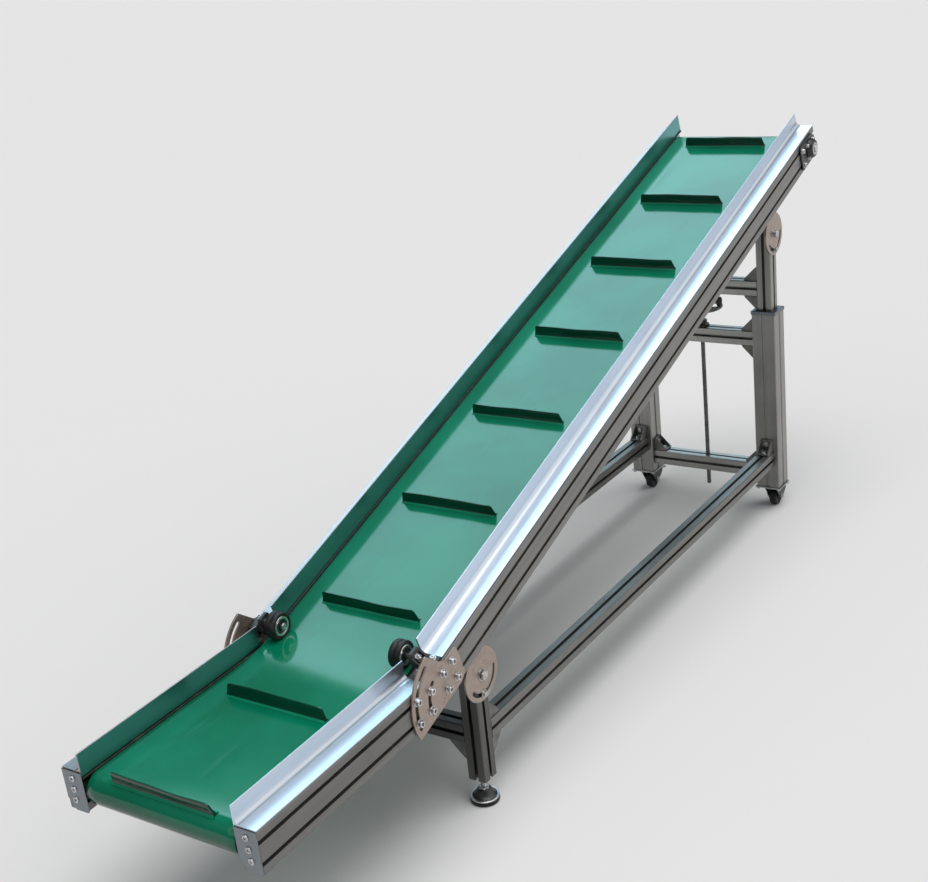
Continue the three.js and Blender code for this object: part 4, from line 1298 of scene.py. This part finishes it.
def buildFoot(hand):
    place = Matrix.Translation((hands[hand] * legX, frontLegY, 0))
    disc = footSize["disc"]
    flats = hexagon(footSize["nut"])
    pad = bmesh.new()
    turned(pad, [
        (0, 0.2), (disc - 6, 0.2), (disc - 5, 0), (disc - 2.4, 0), (disc - 0.6, 1.2), (disc, 3.2), (disc, 7.8),
        (disc - 1, 9), (0, 9),
    ], place, 72)
    body = f"levelling_foot_{hand}"
    settle(f"foot_pad_{hand}", pad, blackRubber(), body, standPlace, 0, 40, (body,))
    ring = footSize["ring"]
    band = bmesh.new()
    turned(band, [
        (ring - 3, 8.8), (ring, 8.8), (ring + 1, 9.8), (ring + 1, 11.6), (ring, 12.6), (ring - 3, 12.8),
    ], place, 72, True)
    settle(f"foot_ring_{hand}", band, turnedSteel(1.1), body, standPlace, 0, 40)
    shell = bmesh.new()
    turned(shell, [
        (0, 9.2), (ring - 2.6, 9.2), (ring - 2.6, 13.2), (disc - 8, 15.4), (18, 19.5), (15.5, 24), (13.6, 27),
        (0, 27),
    ], place, 72)
    settle(f"foot_shell_{hand}", shell, darkMetal(), body, standPlace, 0, 32)
    stem = bmesh.new()
    turned(stem, [(0, 26), (flats, 26), (flats, 30.6), (9.6, 31.4), (0, 31.4)], place, 48)
    pitch = footSize["pitch"]
    start, end = footSize["thread"]
    count = int((end - start) / pitch * 4)

    def threaded(z, angle):
        phase = (z / pitch - angle / tau) % 1.0
        return 5.9 - 0.7 * (1 - abs(phase - 0.5) * 2)

    threadedRod(stem, [start + pitch * k / 4 for k in range(count + 1)], threaded, place, 24)
    settle(f"foot_stem_{hand}", stem, turnedSteel(0.8), body, standPlace, 0, 50)
    # the lock nut stays against the leg while the foot is screwed up or down
    nut = bmesh.new()
    foot, top = footSize["lockNut"]
    turned(nut, [(6.1, foot), (flats, foot), (flats, top - 1), (9.6, top), (6.1, top)], place, 48, True)
    settle(f"foot_lock_nut_{hand}", nut, turnedSteel(0.8), "stand", standPlace, 0, 50)


for hand in hands:
    buildCaster(hand)
    buildFoot(hand)
print("casters and feet done")


# floor, light and camera
stageLook = {"floorReach": 220.0, "floorDrop": 0.4, "worldColour": (0.88, 0.93, 1.0), "worldStrength": 0.13}
skyLights = [
    {"name": "top", "source": (0.15, -0.10, 0.98), "strength": 1.55, "softness": 50, "colour": (1.0, 0.99, 0.98)},
    {"name": "side", "source": (0.75, 0.25, 0.60), "strength": 1.0, "softness": 75, "colour": (1.0, 0.99, 0.98)},
    {"name": "front", "source": (-0.20, -0.75, 0.63), "strength": 0.35, "softness": 50,
     "colour": (0.98, 0.99, 1.0)},
]
windows = [
    {"name": "high window", "place": (-3.83, 3.75, 6.78), "aim": (0, 0.3, 0.65), "size": (6.5, 3.2), "power": 250,
     "colour": (0.54, 0.85, 1.0)},
    {"name": "low window", "place": (-2.67, 6.61, 3.93), "aim": (0, 0, 0.3), "size": (4.4, 2.2), "power": 60,
     "colour": (0.62, 0.87, 1.0)},
]
cameraView = {"place": (1.582, -2.499, 1.632), "turn": 35.045, "tilt": -20.41, "roll": -6.27, "lens": 55.56,
              "sensor": 36.0}


def buildStage():
    bm = bmesh.new()
    reach = stageLook["floorReach"] / mm
    level = -stageLook["floorDrop"]
    corners = [(-reach, -reach), (reach, -reach), (reach, reach), (-reach, reach)]
    bm.faces.new([bm.verts.new((x, y, level)) for x, y in corners])
    bm.transform(standPlace)
    floor = meshObject("floor", bm, [studioFloor()])
    floor.visible_diffuse = False
    world = bpy.data.worlds.new("studio")
    world.use_nodes = True
    sky = world.node_tree.nodes["Background"]
    sky.inputs["Color"].default_value = (*stageLook["worldColour"], 1.0)
    sky.inputs["Strength"].default_value = stageLook["worldStrength"]
    bpy.context.scene.world = world
    for sun in skyLights:
        light = bpy.data.lights.new(sun["name"], "SUN")
        light.energy = sun["strength"]
        light.angle = radians(sun["softness"])
        light.color = sun["colour"]
        hang(light, sun["source"], -Vector(sun["source"]))
    # the floor keeps its even tone: window light falls on the machine alone
    passedBy = bpy.data.collections.new("floor left out")
    passedBy.objects.link(floor)
    passedBy.collection_objects[0].light_linking.link_state = "EXCLUDE"
    for window in windows:
        light = bpy.data.lights.new(window["name"], "AREA")
        light.shape = "RECTANGLE"
        light.size, light.size_y = window["size"]
        light.energy = window["power"]
        light.color = window["colour"]
        holder = hang(light, window["place"], Vector(window["aim"]) - Vector(window["place"]))
        holder.light_linking.receiver_collection = passedBy


def hang(light, place, aim):
    holder = bpy.data.objects.new(light.name, light)
    holder.location = place
    holder.rotation_euler = aim.to_track_quat("-Z", "Y").to_euler()
    bpy.context.scene.collection.objects.link(holder)
    return holder


def buildCamera():
    turn = radians(cameraView["turn"])
    tilt = radians(cameraView["tilt"])
    forward = Vector((-sin(turn) * cos(tilt), cos(turn) * cos(tilt), sin(tilt)))
    level = Vector((cos(turn), sin(turn), 0))
    upright = level.cross(forward)
    roll = radians(cameraView["roll"])
    across = level * cos(roll) + upright * sin(roll)
    above = upright * cos(roll) - level * sin(roll)
    lens = bpy.data.cameras.new("view")
    lens.lens = cameraView["lens"]
    lens.sensor_width = cameraView["sensor"]
    camera = bpy.data.objects.new("view", lens)
    axes = Matrix((across, above, -forward)).transposed().to_4x4()
    camera.matrix_world = Matrix.Translation(cameraView["place"]) @ axes
    bpy.context.scene.collection.objects.link(camera)
    bpy.context.scene.camera = camera


buildStage()
buildCamera()
bpy.context.scene.view_settings.view_transform = "Standard"
print("stage, light and camera done")

bpy.context.view_layer.update()
